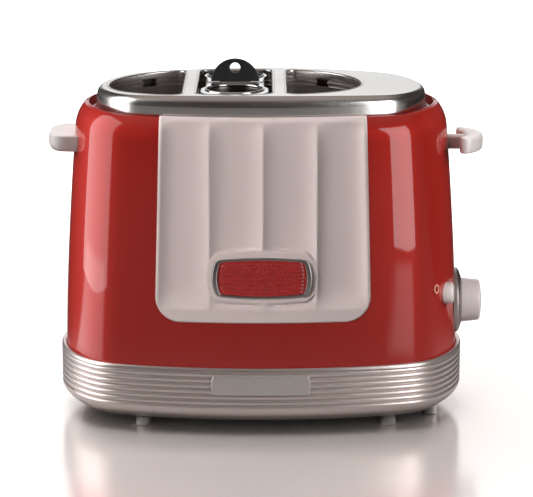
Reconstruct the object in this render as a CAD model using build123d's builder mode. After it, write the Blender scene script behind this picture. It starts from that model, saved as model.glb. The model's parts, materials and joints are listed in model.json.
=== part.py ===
from build123d import *
from math import cos, radians, sin, sqrt
import os

os.makedirs("parts", exist_ok=True)

# Hot dog maker: an oval toaster body with two bun wells and a lift-out sausage basket.
# Front is -Y, the lever and the timer are on the +X end, heights count from the table.

# clearances and sheet used throughout
sheet = 0.8
overrun = 20.0
flat_gap = 0.3
running_gap = 0.05
screw_radius = 1.5
screw_head_radius = 3.0
screw_head_height = 1.5

# wells for the buns and the basket, side by side, measured from their own middle
well_middle = -16.7
well_half_depth = 52.0
window_half_width = 23.5
window_corner = 6.0
well_bar = 9.7
bun_flat = window_half_width + well_bar
bun_length = 47.5
bun_reach = bun_flat + bun_length
bun_corner = 6.0
liner_step = 1.5

# half sizes of the body in plan, outward from the wells: cover, shell, base
cover_end_margin = 8.1
cover_side_margin = 11.5
cover_half_width = bun_reach - well_middle + cover_end_margin
cover_half_depth = well_half_depth + cover_side_margin
shell_end_margin = 21.8
shell_side_margin = 15.7
shell_half_width = cover_half_width + shell_end_margin
shell_half_depth = cover_half_depth + shell_side_margin
base_end_step = 3.3
base_side_step = 2.3
base_half_width = shell_half_width + base_end_step
base_half_depth = shell_half_depth + base_side_step
shell_wall = 2.2
end_taper = 7.6
side_taper = 5.0
barrel_power = 1.6

# heights, from the table up: feet, base, shell, rolled rim, cover
foot_height = 8.7
base_rise = 35.9
base_top = foot_height + base_rise
shell_dip = 2.6
shell_low = base_top - shell_dip
wall_height = 145.0
roll_low = shell_low + wall_height
roll_rise = 15.4
roll_run = 6.4
rim_top = roll_low + roll_rise
cover_stand = 11.6
cover_top = rim_top + cover_stand
liner_stand = 1.4
liner_low = base_top + liner_stand

# the outline of the body in plan, as shares of its half depth
side_arc_share = 4.5
end_arc_share = 1.17
corner_arc_share = 0.53

# heights of the straight part of the shell, as shares from its foot to its rolled rim
wall_level_share = (0, 0.25, 0.5, 0.75, 1)
roll_steps = 4

# the moving carriage and its lever
travel = 55.0
rack_stand = 61.0
rack_height = liner_low + rack_stand
rack_sheet = 1.2
rack_gap = 3.0
arm_width = 4.0
arm_height = 5.0

# what stands out furthest at the two ends
handle_stand = 9.0
knob_stand = 16.5
handle_reach = shell_half_width + handle_stand
knob_reach = shell_half_width + knob_stand

# the body stands off the middle, so that the whole object is centred on the origin
body_x = (handle_reach - knob_reach) / 2


def level(height):
    """A horizontal plane at a height, centred on the body."""
    return Plane((body_x, 0, height))


def front_plane():
    """An upright plane through the body's middle, X to the right, Z up, facing the front."""
    return Plane(origin=(body_x, 0, 0), x_dir=(1, 0, 0), z_dir=(0, -1, 0))


def end_plane(reach):
    """An upright plane across the body, Y to the right, Z up, facing the lever end."""
    return Plane(origin=(body_x + reach, 0, 0), x_dir=(0, 1, 0), z_dir=(1, 0, 0))


def plan(half_width, half_depth):
    """The body's outline in plan: flat arcs front and back, rounder ends, tangent corner arcs."""
    side = side_arc_share * half_depth
    end = end_arc_share * half_depth
    corner = corner_arc_share * half_depth
    side_centre = Vector(0, side - half_depth)
    end_centre = Vector(half_width - end, 0)
    between = end_centre - side_centre
    unit = between.normalized()
    along = ((side - corner) ** 2 - (end - corner) ** 2 + between.length**2) / (2 * between.length)
    across = sqrt((side - corner) ** 2 - along**2)
    centre = side_centre + unit * along + Vector(-unit.Y, unit.X) * across
    side_end = side_centre + (centre - side_centre).normalized() * side
    end_start = end_centre + (centre - end_centre).normalized() * end
    middle = centre + ((side_end - centre) + (end_start - centre)).normalized() * corner
    with BuildSketch() as outline:
        with BuildLine():
            for turn in (1, -1):
                near = (turn * side_end.X, turn * side_end.Y)
                far = (turn * side_end.X, -turn * side_end.Y)
                low = (turn * end_start.X, turn * end_start.Y)
                high = (turn * end_start.X, -turn * end_start.Y)
                ThreePointArc((-turn * side_end.X, turn * side_end.Y), (0, -turn * half_depth), near)
                ThreePointArc(near, (turn * middle.X, turn * middle.Y), low)
                ThreePointArc(low, (turn * half_width, 0), high)
                ThreePointArc(high, (turn * middle.X, -turn * middle.Y), far)
        make_face()
    return outline.sketch


def shell_half(height):
    """Half width and half depth of the shell's outside at a height below its rolled rim."""
    drawn = ((height - shell_low) / (roll_low - shell_low)) ** barrel_power
    return shell_half_width - end_taper * drawn, shell_half_depth - side_taper * drawn


def tub(grow):
    """The shell's outside as a block, grown outward all round."""
    with BuildPart() as block:
        for share in wall_level_share:
            height = shell_low + share * (roll_low - shell_low)
            width, depth = shell_half(height)
            with BuildSketch(level(height)):
                add(plan(width + grow, depth + grow))
        for step in range(roll_steps):
            turn = radians(90 * (step + 1) / roll_steps)
            inset = roll_run - (roll_run + grow) * cos(turn)
            with BuildSketch(level(roll_low + (roll_rise + grow) * sin(turn))):
                add(plan(width - inset, depth - inset))
        loft(ruled=True)
    return block.part


def stack(sizes):
    """A block through several outlines: each size is a height, a half width and a half depth."""
    with BuildPart() as block:
        for height, width, depth in sizes:
            with BuildSketch(level(height)):
                add(plan(width, depth))
        loft(ruled=True)
    return block.part


def bun_outline(side, grow):
    """The D of a bun well: straight toward the middle, round toward the end of the body."""
    with BuildSketch() as outline:
        with Locations((well_middle + side * (bun_reach - well_half_depth), 0)):
            Circle(well_half_depth + grow)
        with Locations((well_middle + side * (bun_flat - grow), 0)):
            Rectangle(
                2 * (well_half_depth + grow),
                2 * (well_half_depth + grow),
                align=(Align.MIN if side > 0 else Align.MAX, Align.CENTER),
                mode=Mode.INTERSECT,
            )
        corners = outline.vertices().group_by(Axis.X)[0 if side > 0 else -1]
        fillet(corners, bun_corner + grow)
    return outline.sketch


def window_outline(grow):
    """The rounded rectangle of the basket well."""
    with BuildSketch() as outline:
        with Locations((well_middle, 0)):
            RectangleRounded(
                2 * (window_half_width + grow), 2 * (well_half_depth + grow), window_corner + grow
            )
    return outline.sketch


# base skirt: a ribbed ring round the foot of the shell, drawn in below to the bottom plate

rib_count = 7
rib_pitch = 3.4
rib_depth = 1.1
rib_land_share = 0.62
rib_rest_share = 0.5
base_wall = 3.0
skirt_low_inset = 9.5
skirt_turn_inset = 3.2
skirt_turn_height = 13.0
plate_thickness = 3.0
plate_top = foot_height + plate_thickness
tray_gap = 0.4
tray_top_share = 0.3
tray_front_top = base_top - (rib_count + tray_top_share) * rib_pitch
tray_inset = 18.6
tray_inner_end = base_half_width - tray_inset
seat_thickness = 2.0


def base_size(height, inset):
    """Height and half sizes of the base's outline, drawn in by an inset."""
    return height, base_half_width - inset, base_half_depth - inset


base_profile = [base_size(foot_height, skirt_low_inset), base_size(skirt_turn_height, skirt_turn_inset)]
base_profile.append(base_size(base_top - (rib_count + rib_rest_share) * rib_pitch, 0))
for rib in range(rib_count):
    rib_low = base_top - (rib_count - rib) * rib_pitch
    base_profile.append(base_size(rib_low, rib_depth if rib else 0))
    base_profile.append(base_size(rib_low + (1 - rib_land_share) * rib_pitch / 2, 0))
    base_profile.append(base_size(rib_low + (1 + rib_land_share) * rib_pitch / 2, 0))
base_profile.append(base_size(base_top, rib_depth / 2))
base_block = stack(base_profile)
base_inside = stack(
    [
        base_size(foot_height, skirt_low_inset + base_wall),
        base_size(skirt_turn_height, skirt_turn_inset + base_wall),
        base_size(tray_front_top, base_wall),
        base_size(base_top, base_wall),
    ]
)
base_mouth = stack(
    [
        (shell_low, shell_half_width + flat_gap, shell_half_depth + flat_gap),
        (base_top, shell_half_width + flat_gap, shell_half_depth + flat_gap),
    ]
)
base_seat = stack(
    [
        (shell_low - seat_thickness, shell_half_width + flat_gap, shell_half_depth + flat_gap),
        (shell_low, shell_half_width + flat_gap, shell_half_depth + flat_gap),
    ]
)
base_seat_hole = stack(
    [
        (shell_low - seat_thickness, shell_half_width - base_wall, shell_half_depth - base_wall),
        (shell_low, shell_half_width - base_wall, shell_half_depth - base_wall),
    ]
)

post_radius = 4.0
post_left_inset = 42.6
post_right_inset = 36.6
post_side_inset = 33.5
post_left = post_left_inset - base_half_width
post_right = base_half_width - post_right_inset
post_side = base_half_depth - post_side_inset
post_clearance = 1.0
tray_half_width = post_side - post_radius - post_clearance
web_half = 1.0
post_places = [(x, y) for x in (post_left, post_right) for y in (-post_side, post_side)]
post_top = shell_low - seat_thickness

gland_inset = 68.6
gland_x = base_half_width - gland_inset
gland_rise = 18.3
gland_height = foot_height + gland_rise
gland_radius = 7.0
gland_bore = 3.6
gland_collar = 9.5

with BuildPart() as posts:
    with BuildSketch(level(tray_front_top)):
        for side in (-1, 1):
            with Locations((post_left, side * post_side), (post_right, side * post_side)):
                Rectangle(
                    2 * web_half,
                    base_half_depth - post_side,
                    align=(Align.CENTER, Align.MIN if side > 0 else Align.MAX),
                )
    extrude(amount=post_top - tray_front_top)
    add(base_block, mode=Mode.INTERSECT)
    with BuildSketch(level(plate_top)):
        with Locations(*post_places):
            Circle(post_radius)
    extrude(amount=post_top - plate_top)

with BuildPart() as base_skirt:
    add(base_block)
    add(base_inside, mode=Mode.SUBTRACT)
    add(base_seat)
    add(base_seat_hole, mode=Mode.SUBTRACT)
    add(base_mouth, mode=Mode.SUBTRACT)
    add(posts.part)
    with BuildSketch(level(plate_top)):
        with Locations(*post_places):
            Circle(screw_radius)
    extrude(amount=(post_top - plate_top) / 2, mode=Mode.SUBTRACT)
    with BuildSketch(end_plane(0)):
        with Locations((0, foot_height)):
            Rectangle(
                2 * (tray_half_width + tray_gap),
                tray_front_top - foot_height + tray_gap,
                align=(Align.CENTER, Align.MIN),
            )
    extrude(amount=-(base_half_width + overrun), mode=Mode.SUBTRACT)
    with BuildSketch(front_plane()):
        with Locations((gland_x, gland_height)):
            Circle(gland_radius + flat_gap)
    extrude(amount=-(base_half_depth + overrun), mode=Mode.SUBTRACT)
base_skirt.part.label = "base_skirt"
export_step(base_skirt.part, "parts/base_skirt.step")

# name plate: a bare, bowed plate over the ribs at the front

plate_half_width = 31.5
plate_half_height = 6.4
plate_proud = 1.3
plate_drop = 11.0
plate_middle = base_top - plate_drop
plate_notch = 3.0

with BuildPart() as name_plate:
    add(
        stack(
            [
                base_size(plate_middle - plate_half_height, -plate_proud),
                base_size(plate_middle + plate_half_height, -plate_proud),
            ]
        )
    )
    add(base_block, mode=Mode.SUBTRACT)
    with BuildSketch(front_plane()) as face:
        with Locations((0, plate_middle)):
            Rectangle(2 * plate_half_width, 2 * plate_half_height)
        fillet(face.vertices(), plate_notch)
    extrude(amount=base_half_depth + overrun, mode=Mode.INTERSECT)
name_plate.part.label = "name_plate"
export_step(name_plate.part, "parts/name_plate.step")

# bottom plate: closes the base and carries the feet and the works

foot_radius = 5.0
foot_left_inset = 55.6
foot_right_inset = 49.6
foot_side_inset = 30.0
foot_end_inset = 21.6
foot_left = foot_left_inset - base_half_width
foot_right = base_half_width - foot_right_inset
foot_side = base_half_depth - foot_side_inset
foot_end = base_half_width - foot_end_inset
foot_end_side = 27.5
foot_places = [(x, y) for x in (foot_left, foot_right) for y in (-foot_side, foot_side)]
foot_places += [(foot_end, -foot_end_side), (foot_end, foot_end_side)]
vent_length = 26.0
vent_width = 2.5
vent_pitch = 7.0
vent_count = 5
vent_inset = 46.6
vent_x = base_half_width - vent_inset
clip_length = 6.0
clip_width = 3.0
clip_height = 10.0
board_inset = 29.3
board_x = shell_half_width - board_inset
board_thickness = 1.6
board_half_width = 42.0
plate_rim_gap = 0.2

with BuildPart() as bottom_plate:
    add(
        stack(
            [
                base_size(foot_height, skirt_low_inset + base_wall + plate_rim_gap),
                base_size(plate_top, skirt_low_inset + base_wall + plate_rim_gap),
            ]
        )
    )
    with BuildSketch(level(plate_top)):
        for side in (-1, 1):
            for clip in (-1, 1):
                gap = board_thickness / 2 + running_gap
                with Locations(
                    (
                        board_x + board_thickness / 2 + clip * (gap + clip_width / 2),
                        side * (board_half_width - clip_length),
                    )
                ):
                    Rectangle(clip_width, clip_length)
    extrude(amount=clip_height)
    with BuildSketch(level(foot_height)):
        with Locations((vent_x, 0)):
            with GridLocations(vent_pitch, vent_length * 2, vent_count, 2):
                SlotOverall(vent_length, vent_width, rotation=90)
        with Locations(*post_places):
            Circle(screw_radius + running_gap)
    extrude(amount=plate_thickness, mode=Mode.SUBTRACT)
bottom_plate.part.label = "bottom_plate"
export_step(bottom_plate.part, "parts/bottom_plate.step")

with BuildPart() as base_screws:
    with BuildSketch(level(foot_height)):
        with Locations(*post_places):
            Circle(screw_radius)
    extrude(amount=plate_thickness + (post_top - plate_top) / 2)
    with BuildSketch(level(foot_height)):
        with Locations(*post_places):
            Circle(screw_head_radius)
    extrude(amount=-screw_head_height)
base_screws.part.label = "base_screws"
export_step(base_screws.part, "parts/base_screws.step")

foot_edge = 0.8

with BuildPart() as feet:
    with BuildSketch(Plane.XY):
        with Locations(*[(body_x + x, y) for x, y in foot_places]):
            Circle(foot_radius)
    extrude(amount=foot_height)
    fillet(feet.edges().group_by(Axis.Z)[0], foot_edge)
feet.part.label = "feet"
export_step(feet.part, "parts/feet.step")

# cord gland: the grommet at the back where the mains lead goes in

gland_drop = 3.0
gland_face = base_half_depth - gland_drop
gland_length = 20.5
gland_inside = gland_face - gland_length
gland_lip = 5.0

with BuildPart() as cord_gland:
    with BuildSketch(front_plane().offset(-(gland_face - gland_lip))):
        with Locations((gland_x, gland_height)):
            Circle(gland_collar)
    extrude(amount=-gland_lip)
    add(base_block, mode=Mode.SUBTRACT)
    with BuildSketch(front_plane().offset(-gland_inside)):
        with Locations((gland_x, gland_height)):
            Circle(gland_radius)
    extrude(amount=-(gland_face - gland_inside))
    with BuildSketch(front_plane().offset(-gland_inside)):
        with Locations((gland_x, gland_height)):
            Circle(gland_bore)
    extrude(amount=-(gland_face - gland_inside), mode=Mode.SUBTRACT)
cord_gland.part.label = "cord_gland"
export_step(cord_gland.part, "parts/cord_gland.step")

# outer shell: the red tub, with its rolled rim, the panel's recess and the openings of the lever end

lip_end_gap = 5.1
lip_side_gap = 2.9
lip_half_width = cover_half_width + lip_end_gap
lip_half_depth = cover_half_depth + lip_side_gap
ledge_drop = 5.4
ledge_height = rim_top - ledge_drop
ledge_thickness = 2.0
ledge_end_gap = 2.7
ledge_side_gap = 1.7
ledge_half_width = cover_half_width + ledge_end_gap
ledge_half_depth = cover_half_depth + ledge_side_gap
throat_inset = 3.0
throat_half_width = cover_half_width - throat_inset
throat_half_depth = cover_half_depth - throat_inset

panel_half_top = 63.8
panel_half_low = 67.8
panel_rise = 31.4
panel_low = shell_low + panel_rise
panel_corner = 16.0
panel_proud = 1.2
panel_seat = 1.0

lever_drop = 27.6
lever_height = rim_top - lever_drop
lever_half_height = 4.5
slot_half_width = 5.6
neck_half_width = 4.6
slot_gap = 1.0

dial_rise = 25.0
dial_height = base_top + dial_rise
ring_radius = 21.2
seat_radius = 27.0
seat_inset = 3.3
seat_face = shell_half_width - seat_inset
seat_depth = 3.0
pocket_gap = 0.5
shaft_radius = 3.0
button_y = -35.0
button_rise = 13.0
button_height = dial_height + button_rise
button_radius = 7.0


def panel_outline(grow):
    """The front panel seen from the front: wider below, with rounded lower corners."""
    top = rim_top + overrun
    low = panel_low - grow
    with BuildSketch() as outline:
        with BuildLine():
            Polyline(
                (-panel_half_top - grow, top),
                (-panel_half_low - grow, low),
                (panel_half_low + grow, low),
                (panel_half_top + grow, top),
                close=True,
            )
        make_face()
        fillet(outline.vertices().group_by(Axis.Y)[0], panel_corner + grow)
    return outline.sketch


def wall_size(height, inset):
    """Height and half sizes of the shell's outside at a height, drawn in by an inset."""
    width, depth = shell_half(min(height, roll_low))
    return height, width - inset, depth - inset


cavity_levels = [shell_low + share * (roll_low - shell_low) for share in wall_level_share]
cavity_sizes = [wall_size(height, shell_wall) for height in cavity_levels]
cavity_top = ledge_height - ledge_thickness
cavity_sizes.append((cavity_top, ledge_half_width + shell_wall * 2, ledge_half_depth + shell_wall * 2))
body_block = tub(0)

with BuildPart() as panel_slab:
    add(tub(panel_proud))
    add(tub(-panel_seat), mode=Mode.SUBTRACT)
    with BuildSketch(front_plane()):
        add(panel_outline(0))
    extrude(amount=shell_half_depth + overrun, mode=Mode.INTERSECT)
    add(
        stack(
            [
                (ledge_height, lip_half_width, lip_half_depth),
                (rim_top + overrun, lip_half_width, lip_half_depth),
            ]
        ),
        mode=Mode.SUBTRACT,
    )

with BuildPart() as dial_seat:
    with BuildSketch(end_plane(seat_face - seat_depth)):
        with Locations((0, dial_height)):
            Circle(seat_radius)
    extrude(amount=overrun)
    add(body_block, mode=Mode.INTERSECT)

handle_drop = 19.8
handle_thickness = 11.0
handle_top = rim_top - handle_drop
handle_low = handle_top - handle_thickness
handle_height = (handle_low + handle_top) / 2
handle_screw_side = 12.0

with BuildPart() as outer_shell:
    add(body_block)
    add(stack(cavity_sizes), mode=Mode.SUBTRACT)
    add(
        stack(
            [
                (ledge_height, ledge_half_width, ledge_half_depth),
                (rim_top, lip_half_width, lip_half_depth),
            ]
        ),
        mode=Mode.SUBTRACT,
    )
    add(
        stack(
            [
                (cavity_top, throat_half_width, throat_half_depth),
                (ledge_height, throat_half_width, throat_half_depth),
            ]
        ),
        mode=Mode.SUBTRACT,
    )
    add(dial_seat.part)
    with BuildSketch(end_plane(seat_face)):
        with Locations((0, dial_height)):
            Circle(ring_radius + pocket_gap)
    extrude(amount=overrun, mode=Mode.SUBTRACT)
    add(panel_slab.part, mode=Mode.SUBTRACT)
    with BuildSketch(end_plane(0)):
        with Locations((0, dial_height)):
            Circle(shaft_radius + flat_gap)
        with Locations((button_y, button_height)):
            Circle(button_radius + flat_gap)
        with Locations((0, lever_height - travel / 2)):
            Rectangle(2 * slot_half_width, travel + 2 * (lever_half_height + slot_gap))
    extrude(amount=shell_half_width + overrun, mode=Mode.SUBTRACT)
    with BuildSketch(end_plane(0)):
        with Locations((-handle_screw_side, handle_height), (handle_screw_side, handle_height)):
            Circle(screw_radius)
    extrude(amount=-(shell_half_width + overrun), mode=Mode.SUBTRACT)
outer_shell.part.label = "outer_shell"
export_step(outer_shell.part, "parts/outer_shell.step")

# front panel: pale, with four shallow upright flutes that fade out above and below the badge pad

flute_count = 4
ridge_pitch = 33.5
flute_depth = 1.5
flute_radius = (ridge_pitch / 2) ** 2 / (2 * flute_depth) + flute_depth / 2
flute_foot = 12.6
flute_head = 16.4
flute_low = panel_low + flute_foot
flute_high = rim_top - flute_head
flute_fade = 12.0
badge_rise = 29.6
badge_middle = panel_low + badge_rise
badge_half_width = 31.2
badge_half_height = 12.8
badge_bow = 1.6
badge_corner = 4.0
pad_margin = 4.5
from_below = (Align.CENTER, Align.CENTER, Align.MIN)


def badge_outline(grow):
    """The badge seen from the front: bowed edges all round and rounded corners."""
    side = badge_half_width + grow - badge_bow / 2
    top = badge_half_height + grow - badge_bow
    with BuildSketch() as outline:
        with BuildLine():
            for turn in (1, -1):
                ThreePointArc(
                    (-turn * side, turn * top), (0, turn * (top + badge_bow)), (turn * side, turn * top)
                )
                ThreePointArc(
                    (turn * side, turn * top),
                    (turn * (side + badge_bow / 2), 0),
                    (turn * side, -turn * top),
                )
        make_face()
        fillet(outline.vertices(), badge_corner + grow)
    return outline.sketch


def flute_axis(x, height):
    """A point on a flute's axis, out in front of the panel along the panel's own normal."""
    depth = shell_half(height)[1] + panel_proud
    side = side_arc_share * depth
    out = (side + flute_radius - flute_depth) / side
    return Vector(body_x + x * out, side - depth - sqrt(side**2 - x**2) * out, height)


with BuildPart() as flutes:
    for flute in range(flute_count):
        x = (flute - (flute_count - 1) / 2) * ridge_pitch
        foot = flute_axis(x, flute_low + flute_fade)
        head = flute_axis(x, flute_high - flute_fade)
        rise = head - foot
        end_radius = flute_radius - flute_depth
        with Locations(Plane(origin=foot, z_dir=rise)):
            Cylinder(flute_radius, rise.length, align=from_below)
        with Locations(Plane(origin=foot, z_dir=-rise), Plane(origin=head, z_dir=rise)):
            Cone(flute_radius, end_radius, flute_fade, align=from_below)
    with BuildSketch(front_plane()):
        with Locations((0, badge_middle)):
            add(badge_outline(pad_margin))
    extrude(amount=shell_half_depth + overrun, mode=Mode.SUBTRACT)

with BuildPart() as front_panel:
    add(panel_slab.part)
    add(flutes.part, mode=Mode.SUBTRACT)
front_panel.part.label = "front_panel"
export_step(front_panel.part, "parts/front_panel.step")

# badge: a dark bezel round a ribbed insert, both bowed like the panel

bezel_thickness = 2.6
bezel_width = 2.6
insert_thickness = 1.8
insert_groove = 0.5
insert_ribs = 9
groove_share = 0.35


def wall_band(low, high, grow):
    """A block with the shell's outline between two heights, grown outward."""
    return stack([wall_size(low, -grow), wall_size(high, -grow)])


badge_low = badge_middle - badge_half_height - badge_corner
badge_high = badge_middle + badge_half_height + badge_corner

with BuildPart() as badge_bezel:
    add(wall_band(badge_low, badge_high, panel_proud + bezel_thickness))
    add(body_block, mode=Mode.SUBTRACT)
    with BuildSketch(front_plane()):
        with Locations((0, badge_middle)):
            add(badge_outline(0))
            add(badge_outline(-bezel_width), mode=Mode.SUBTRACT)
    extrude(amount=base_half_depth + overrun, mode=Mode.INTERSECT)
    add(panel_slab.part, mode=Mode.SUBTRACT)
badge_bezel.part.label = "badge_bezel"
export_step(badge_bezel.part, "parts/badge_bezel.step")

with BuildPart() as badge_grooves:
    add(wall_band(badge_low, badge_high, panel_proud + bezel_thickness))
    add(wall_band(badge_low, badge_high, panel_proud + insert_thickness - insert_groove), mode=Mode.SUBTRACT)
    groove_pitch = 2 * (badge_half_height - bezel_width) / insert_ribs
    with BuildSketch(front_plane()):
        with Locations((0, badge_middle)):
            with GridLocations(0, groove_pitch, 1, insert_ribs - 1):
                Rectangle(2 * badge_half_width, groove_pitch * groove_share)
    extrude(amount=base_half_depth + overrun, mode=Mode.INTERSECT)

with BuildPart() as badge_insert:
    add(wall_band(badge_low, badge_high, panel_proud + insert_thickness))
    add(body_block, mode=Mode.SUBTRACT)
    with BuildSketch(front_plane()):
        with Locations((0, badge_middle)):
            add(badge_outline(-bezel_width))
    extrude(amount=base_half_depth + overrun, mode=Mode.INTERSECT)
    add(panel_slab.part, mode=Mode.SUBTRACT)
    add(badge_grooves.part, mode=Mode.SUBTRACT)
badge_insert.part.label = "badge_insert"
export_step(badge_insert.part, "parts/badge_insert.step")

# top cover: a raised steel lid with a rolled edge, standing on the shell's ledge

cover_roll_rise = 9.0
cover_roll_low = cover_top - cover_roll_rise
cover_roll_run = 5.2
collar_depth = 4.0


def cover_block(grow):
    """The cover's outside as a block, grown outward all round."""
    rise = cover_top - cover_roll_low + grow
    sizes = [(ledge_height, cover_half_width + grow, cover_half_depth + grow)]
    for step in range(roll_steps + 1):
        turn = radians(90 * step / roll_steps)
        inset = cover_roll_run - (cover_roll_run + grow) * cos(turn)
        sizes.append((cover_roll_low + rise * sin(turn), cover_half_width - inset, cover_half_depth - inset))
    return stack(sizes)


with BuildPart() as top_cover:
    add(cover_block(0))
    add(cover_block(-sheet), mode=Mode.SUBTRACT)
    with BuildSketch(level(cover_top - collar_depth)):
        add(bun_outline(-1, sheet))
        add(bun_outline(1, sheet))
    extrude(amount=collar_depth)
    with BuildSketch(level(cover_top - collar_depth)):
        add(bun_outline(-1, 0))
        add(bun_outline(1, 0))
        add(window_outline(0))
    extrude(amount=collar_depth, mode=Mode.SUBTRACT)
top_cover.part.label = "top_cover"
export_step(top_cover.part, "parts/top_cover.step")

# wells: thin steel liners hung from the cover, open below, slotted for the racks and the heat

liner_top = cover_top - sheet
heat_slot_margin = 17.0
heat_slot_width = 2 * (well_half_depth - heat_slot_margin)
heat_slot_height = 9.0
heat_slot_pitch = 18.0
heat_slot_count = 6
heat_slot_middle = (liner_low + liner_top) / 2
arm_gap = 1.5
bun_rack_x = (bun_flat + bun_reach) / 2
arm_slot_low = rack_height - travel - arm_height - arm_gap
arm_slot_high = rack_height + rack_sheet + arm_gap


def heat_slots(reach, depth):
    """Level slots through an upright wall across the body, starting at a reach."""
    with BuildPart() as slots:
        with BuildSketch(end_plane(reach)):
            with Locations((0, heat_slot_middle)):
                with GridLocations(0, heat_slot_pitch, 1, heat_slot_count):
                    SlotOverall(heat_slot_width, heat_slot_height)
        extrude(amount=depth, both=True)
    return slots.part


def arm_slot(x):
    """The upright slot that lets a rack's arm through the back wall."""
    with BuildPart() as slot:
        with BuildSketch(front_plane()):
            with Locations((x, arm_slot_low)):
                Rectangle(
                    arm_width + 2 * arm_gap,
                    arm_slot_high - arm_slot_low,
                    align=(Align.CENTER, Align.MIN),
                )
        extrude(amount=-(shell_half_depth + overrun))
    return slot.part


for side, name in ((-1, "left"), (1, "right")):
    with BuildPart() as bun_liner:
        with BuildSketch(level(liner_low)):
            add(bun_outline(side, liner_step + sheet))
            add(bun_outline(side, liner_step), mode=Mode.SUBTRACT)
        extrude(amount=liner_top - liner_low)
        add(heat_slots(well_middle + side * (bun_flat - liner_step), 2 * sheet), mode=Mode.SUBTRACT)
        add(arm_slot(well_middle + side * bun_rack_x), mode=Mode.SUBTRACT)
        add(top_cover.part, mode=Mode.SUBTRACT)
    bun_liner.part.label = name + "_bun_liner"
    export_step(bun_liner.part, "parts/" + name + "_bun_liner.step")

with BuildPart() as basket_liner:
    with BuildSketch(level(liner_low)):
        add(window_outline(liner_step + sheet))
        add(window_outline(liner_step), mode=Mode.SUBTRACT)
    extrude(amount=liner_top - liner_low)
    for side in (-1, 1):
        add(heat_slots(well_middle + side * (window_half_width + liner_step), 2 * sheet), mode=Mode.SUBTRACT)
    add(arm_slot(well_middle), mode=Mode.SUBTRACT)
basket_liner.part.label = "basket_liner"
export_step(basket_liner.part, "parts/basket_liner.step")

# heat shields: upright sheets in front of and behind the wells, which also hold the heater cards

shield_gap = 1.7
shield_inside = well_half_depth + liner_step + sheet + shield_gap
shield_sheet = 1.2
shield_end_inset = 25.5
shield_left = shield_end_inset - cover_half_width
shield_drop = 7.0
shield_top = ledge_height - shield_drop
mechanism_x = well_middle + bun_reach + liner_step + sheet + flat_gap

for side, name in ((-1, "front"), (1, "rear")):
    with BuildPart() as heat_shield:
        with BuildSketch(front_plane().offset(-side * shield_inside)):
            with Locations((shield_left, plate_top)):
                Rectangle(mechanism_x - shield_left, shield_top - plate_top, align=(Align.MIN, Align.MIN))
        extrude(amount=-side * shield_sheet)
        if side > 0:
            for x in (well_middle - bun_rack_x, well_middle, well_middle + bun_rack_x):
                add(arm_slot(x), mode=Mode.SUBTRACT)
    heat_shield.part.label = name + "_heat_shield"
    export_step(heat_shield.part, "parts/" + name + "_heat_shield.step")

# heaters: a mica card between each bun well and the basket well, with its resistance strip

card_thickness = 0.6
strip_thickness = 0.4
strip_height = 2.2
strip_margin = 8.0
strip_length = 2 * (shield_inside - strip_margin)
strip_pitch = 12.0
strip_count = 10
card_drop = 2.0
card_low = liner_low - card_drop

for side, name in ((-1, "left"), (1, "right")):
    card_x = well_middle + side * (bun_flat + window_half_width) / 2
    with BuildPart() as heater_card:
        with BuildSketch(end_plane(card_x)):
            with Locations((0, card_low)):
                Rectangle(
                    2 * shield_inside,
                    shield_top - card_low,
                    align=(Align.CENTER, Align.MIN),
                )
        extrude(amount=card_thickness / 2, both=True)
    heater_card.part.label = name + "_heater_card"
    export_step(heater_card.part, "parts/" + name + "_heater_card.step")
    with BuildPart() as heating_strip:
        for face in (-1, 1):
            with BuildSketch(end_plane(card_x + face * card_thickness / 2)):
                with Locations((0, (card_low + shield_top) / 2)):
                    with GridLocations(0, strip_pitch, 1, strip_count):
                        Rectangle(strip_length, strip_height)
            extrude(amount=face * strip_thickness)
    heating_strip.part.label = name + "_heating_strip"
    export_step(heating_strip.part, "parts/" + name + "_heating_strip.step")

# mechanism plate: an upright steel plate at the lever end whose top flange holds the guide rods

rod_gap = 12.4
rod_x = mechanism_x + rod_gap
rod_side = 20.0
rod_radius = 2.5
bush_radius = 5.0
bush_length = 12.0
flange_reach = 9.0
flange_half = 28.0
plate_half = shield_inside + shield_sheet

with BuildPart() as mechanism_plate:
    with BuildSketch(end_plane(mechanism_x)):
        with Locations((0, plate_top)):
            Rectangle(2 * plate_half, shield_top - plate_top, align=(Align.CENTER, Align.MIN))
    extrude(amount=shield_sheet)
    with BuildSketch(level(shield_top)):
        with Locations((mechanism_x, 0)):
            Rectangle(
                rod_x + flange_reach - mechanism_x, 2 * flange_half, align=(Align.MIN, Align.CENTER)
            )
    extrude(amount=shield_sheet)
    with BuildSketch(level(shield_top)):
        with Locations((rod_x, -rod_side), (rod_x, rod_side)):
            Circle(rod_radius)
    extrude(amount=shield_sheet, mode=Mode.SUBTRACT)
mechanism_plate.part.label = "mechanism_plate"
export_step(mechanism_plate.part, "parts/mechanism_plate.step")

with BuildPart() as guide_rods:
    with BuildSketch(level(plate_top)):
        with Locations((rod_x, -rod_side), (rod_x, rod_side)):
            Circle(rod_radius)
    extrude(amount=shield_top + shield_sheet - plate_top)
guide_rods.part.label = "guide_rods"
export_step(guide_rods.part, "parts/guide_rods.step")

# carriage: a bent plate with bushes on the guide rods, which lifts the racks and carries the lever

carriage_drop = 11.0
carriage_low = rack_height - carriage_drop
carriage_sheet = 1.5
carriage_x = mechanism_x + shield_sheet + arm_gap
carriage_top = shield_top - flat_gap
bar_gap = 1.8
bar_side = shield_inside + shield_sheet + bar_gap
bar_thickness = 2.0
bar_rise = 8.0
bar_low = carriage_low + bar_rise
bar_height = 8.0
wing_height = bar_low + bar_height - carriage_low

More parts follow.
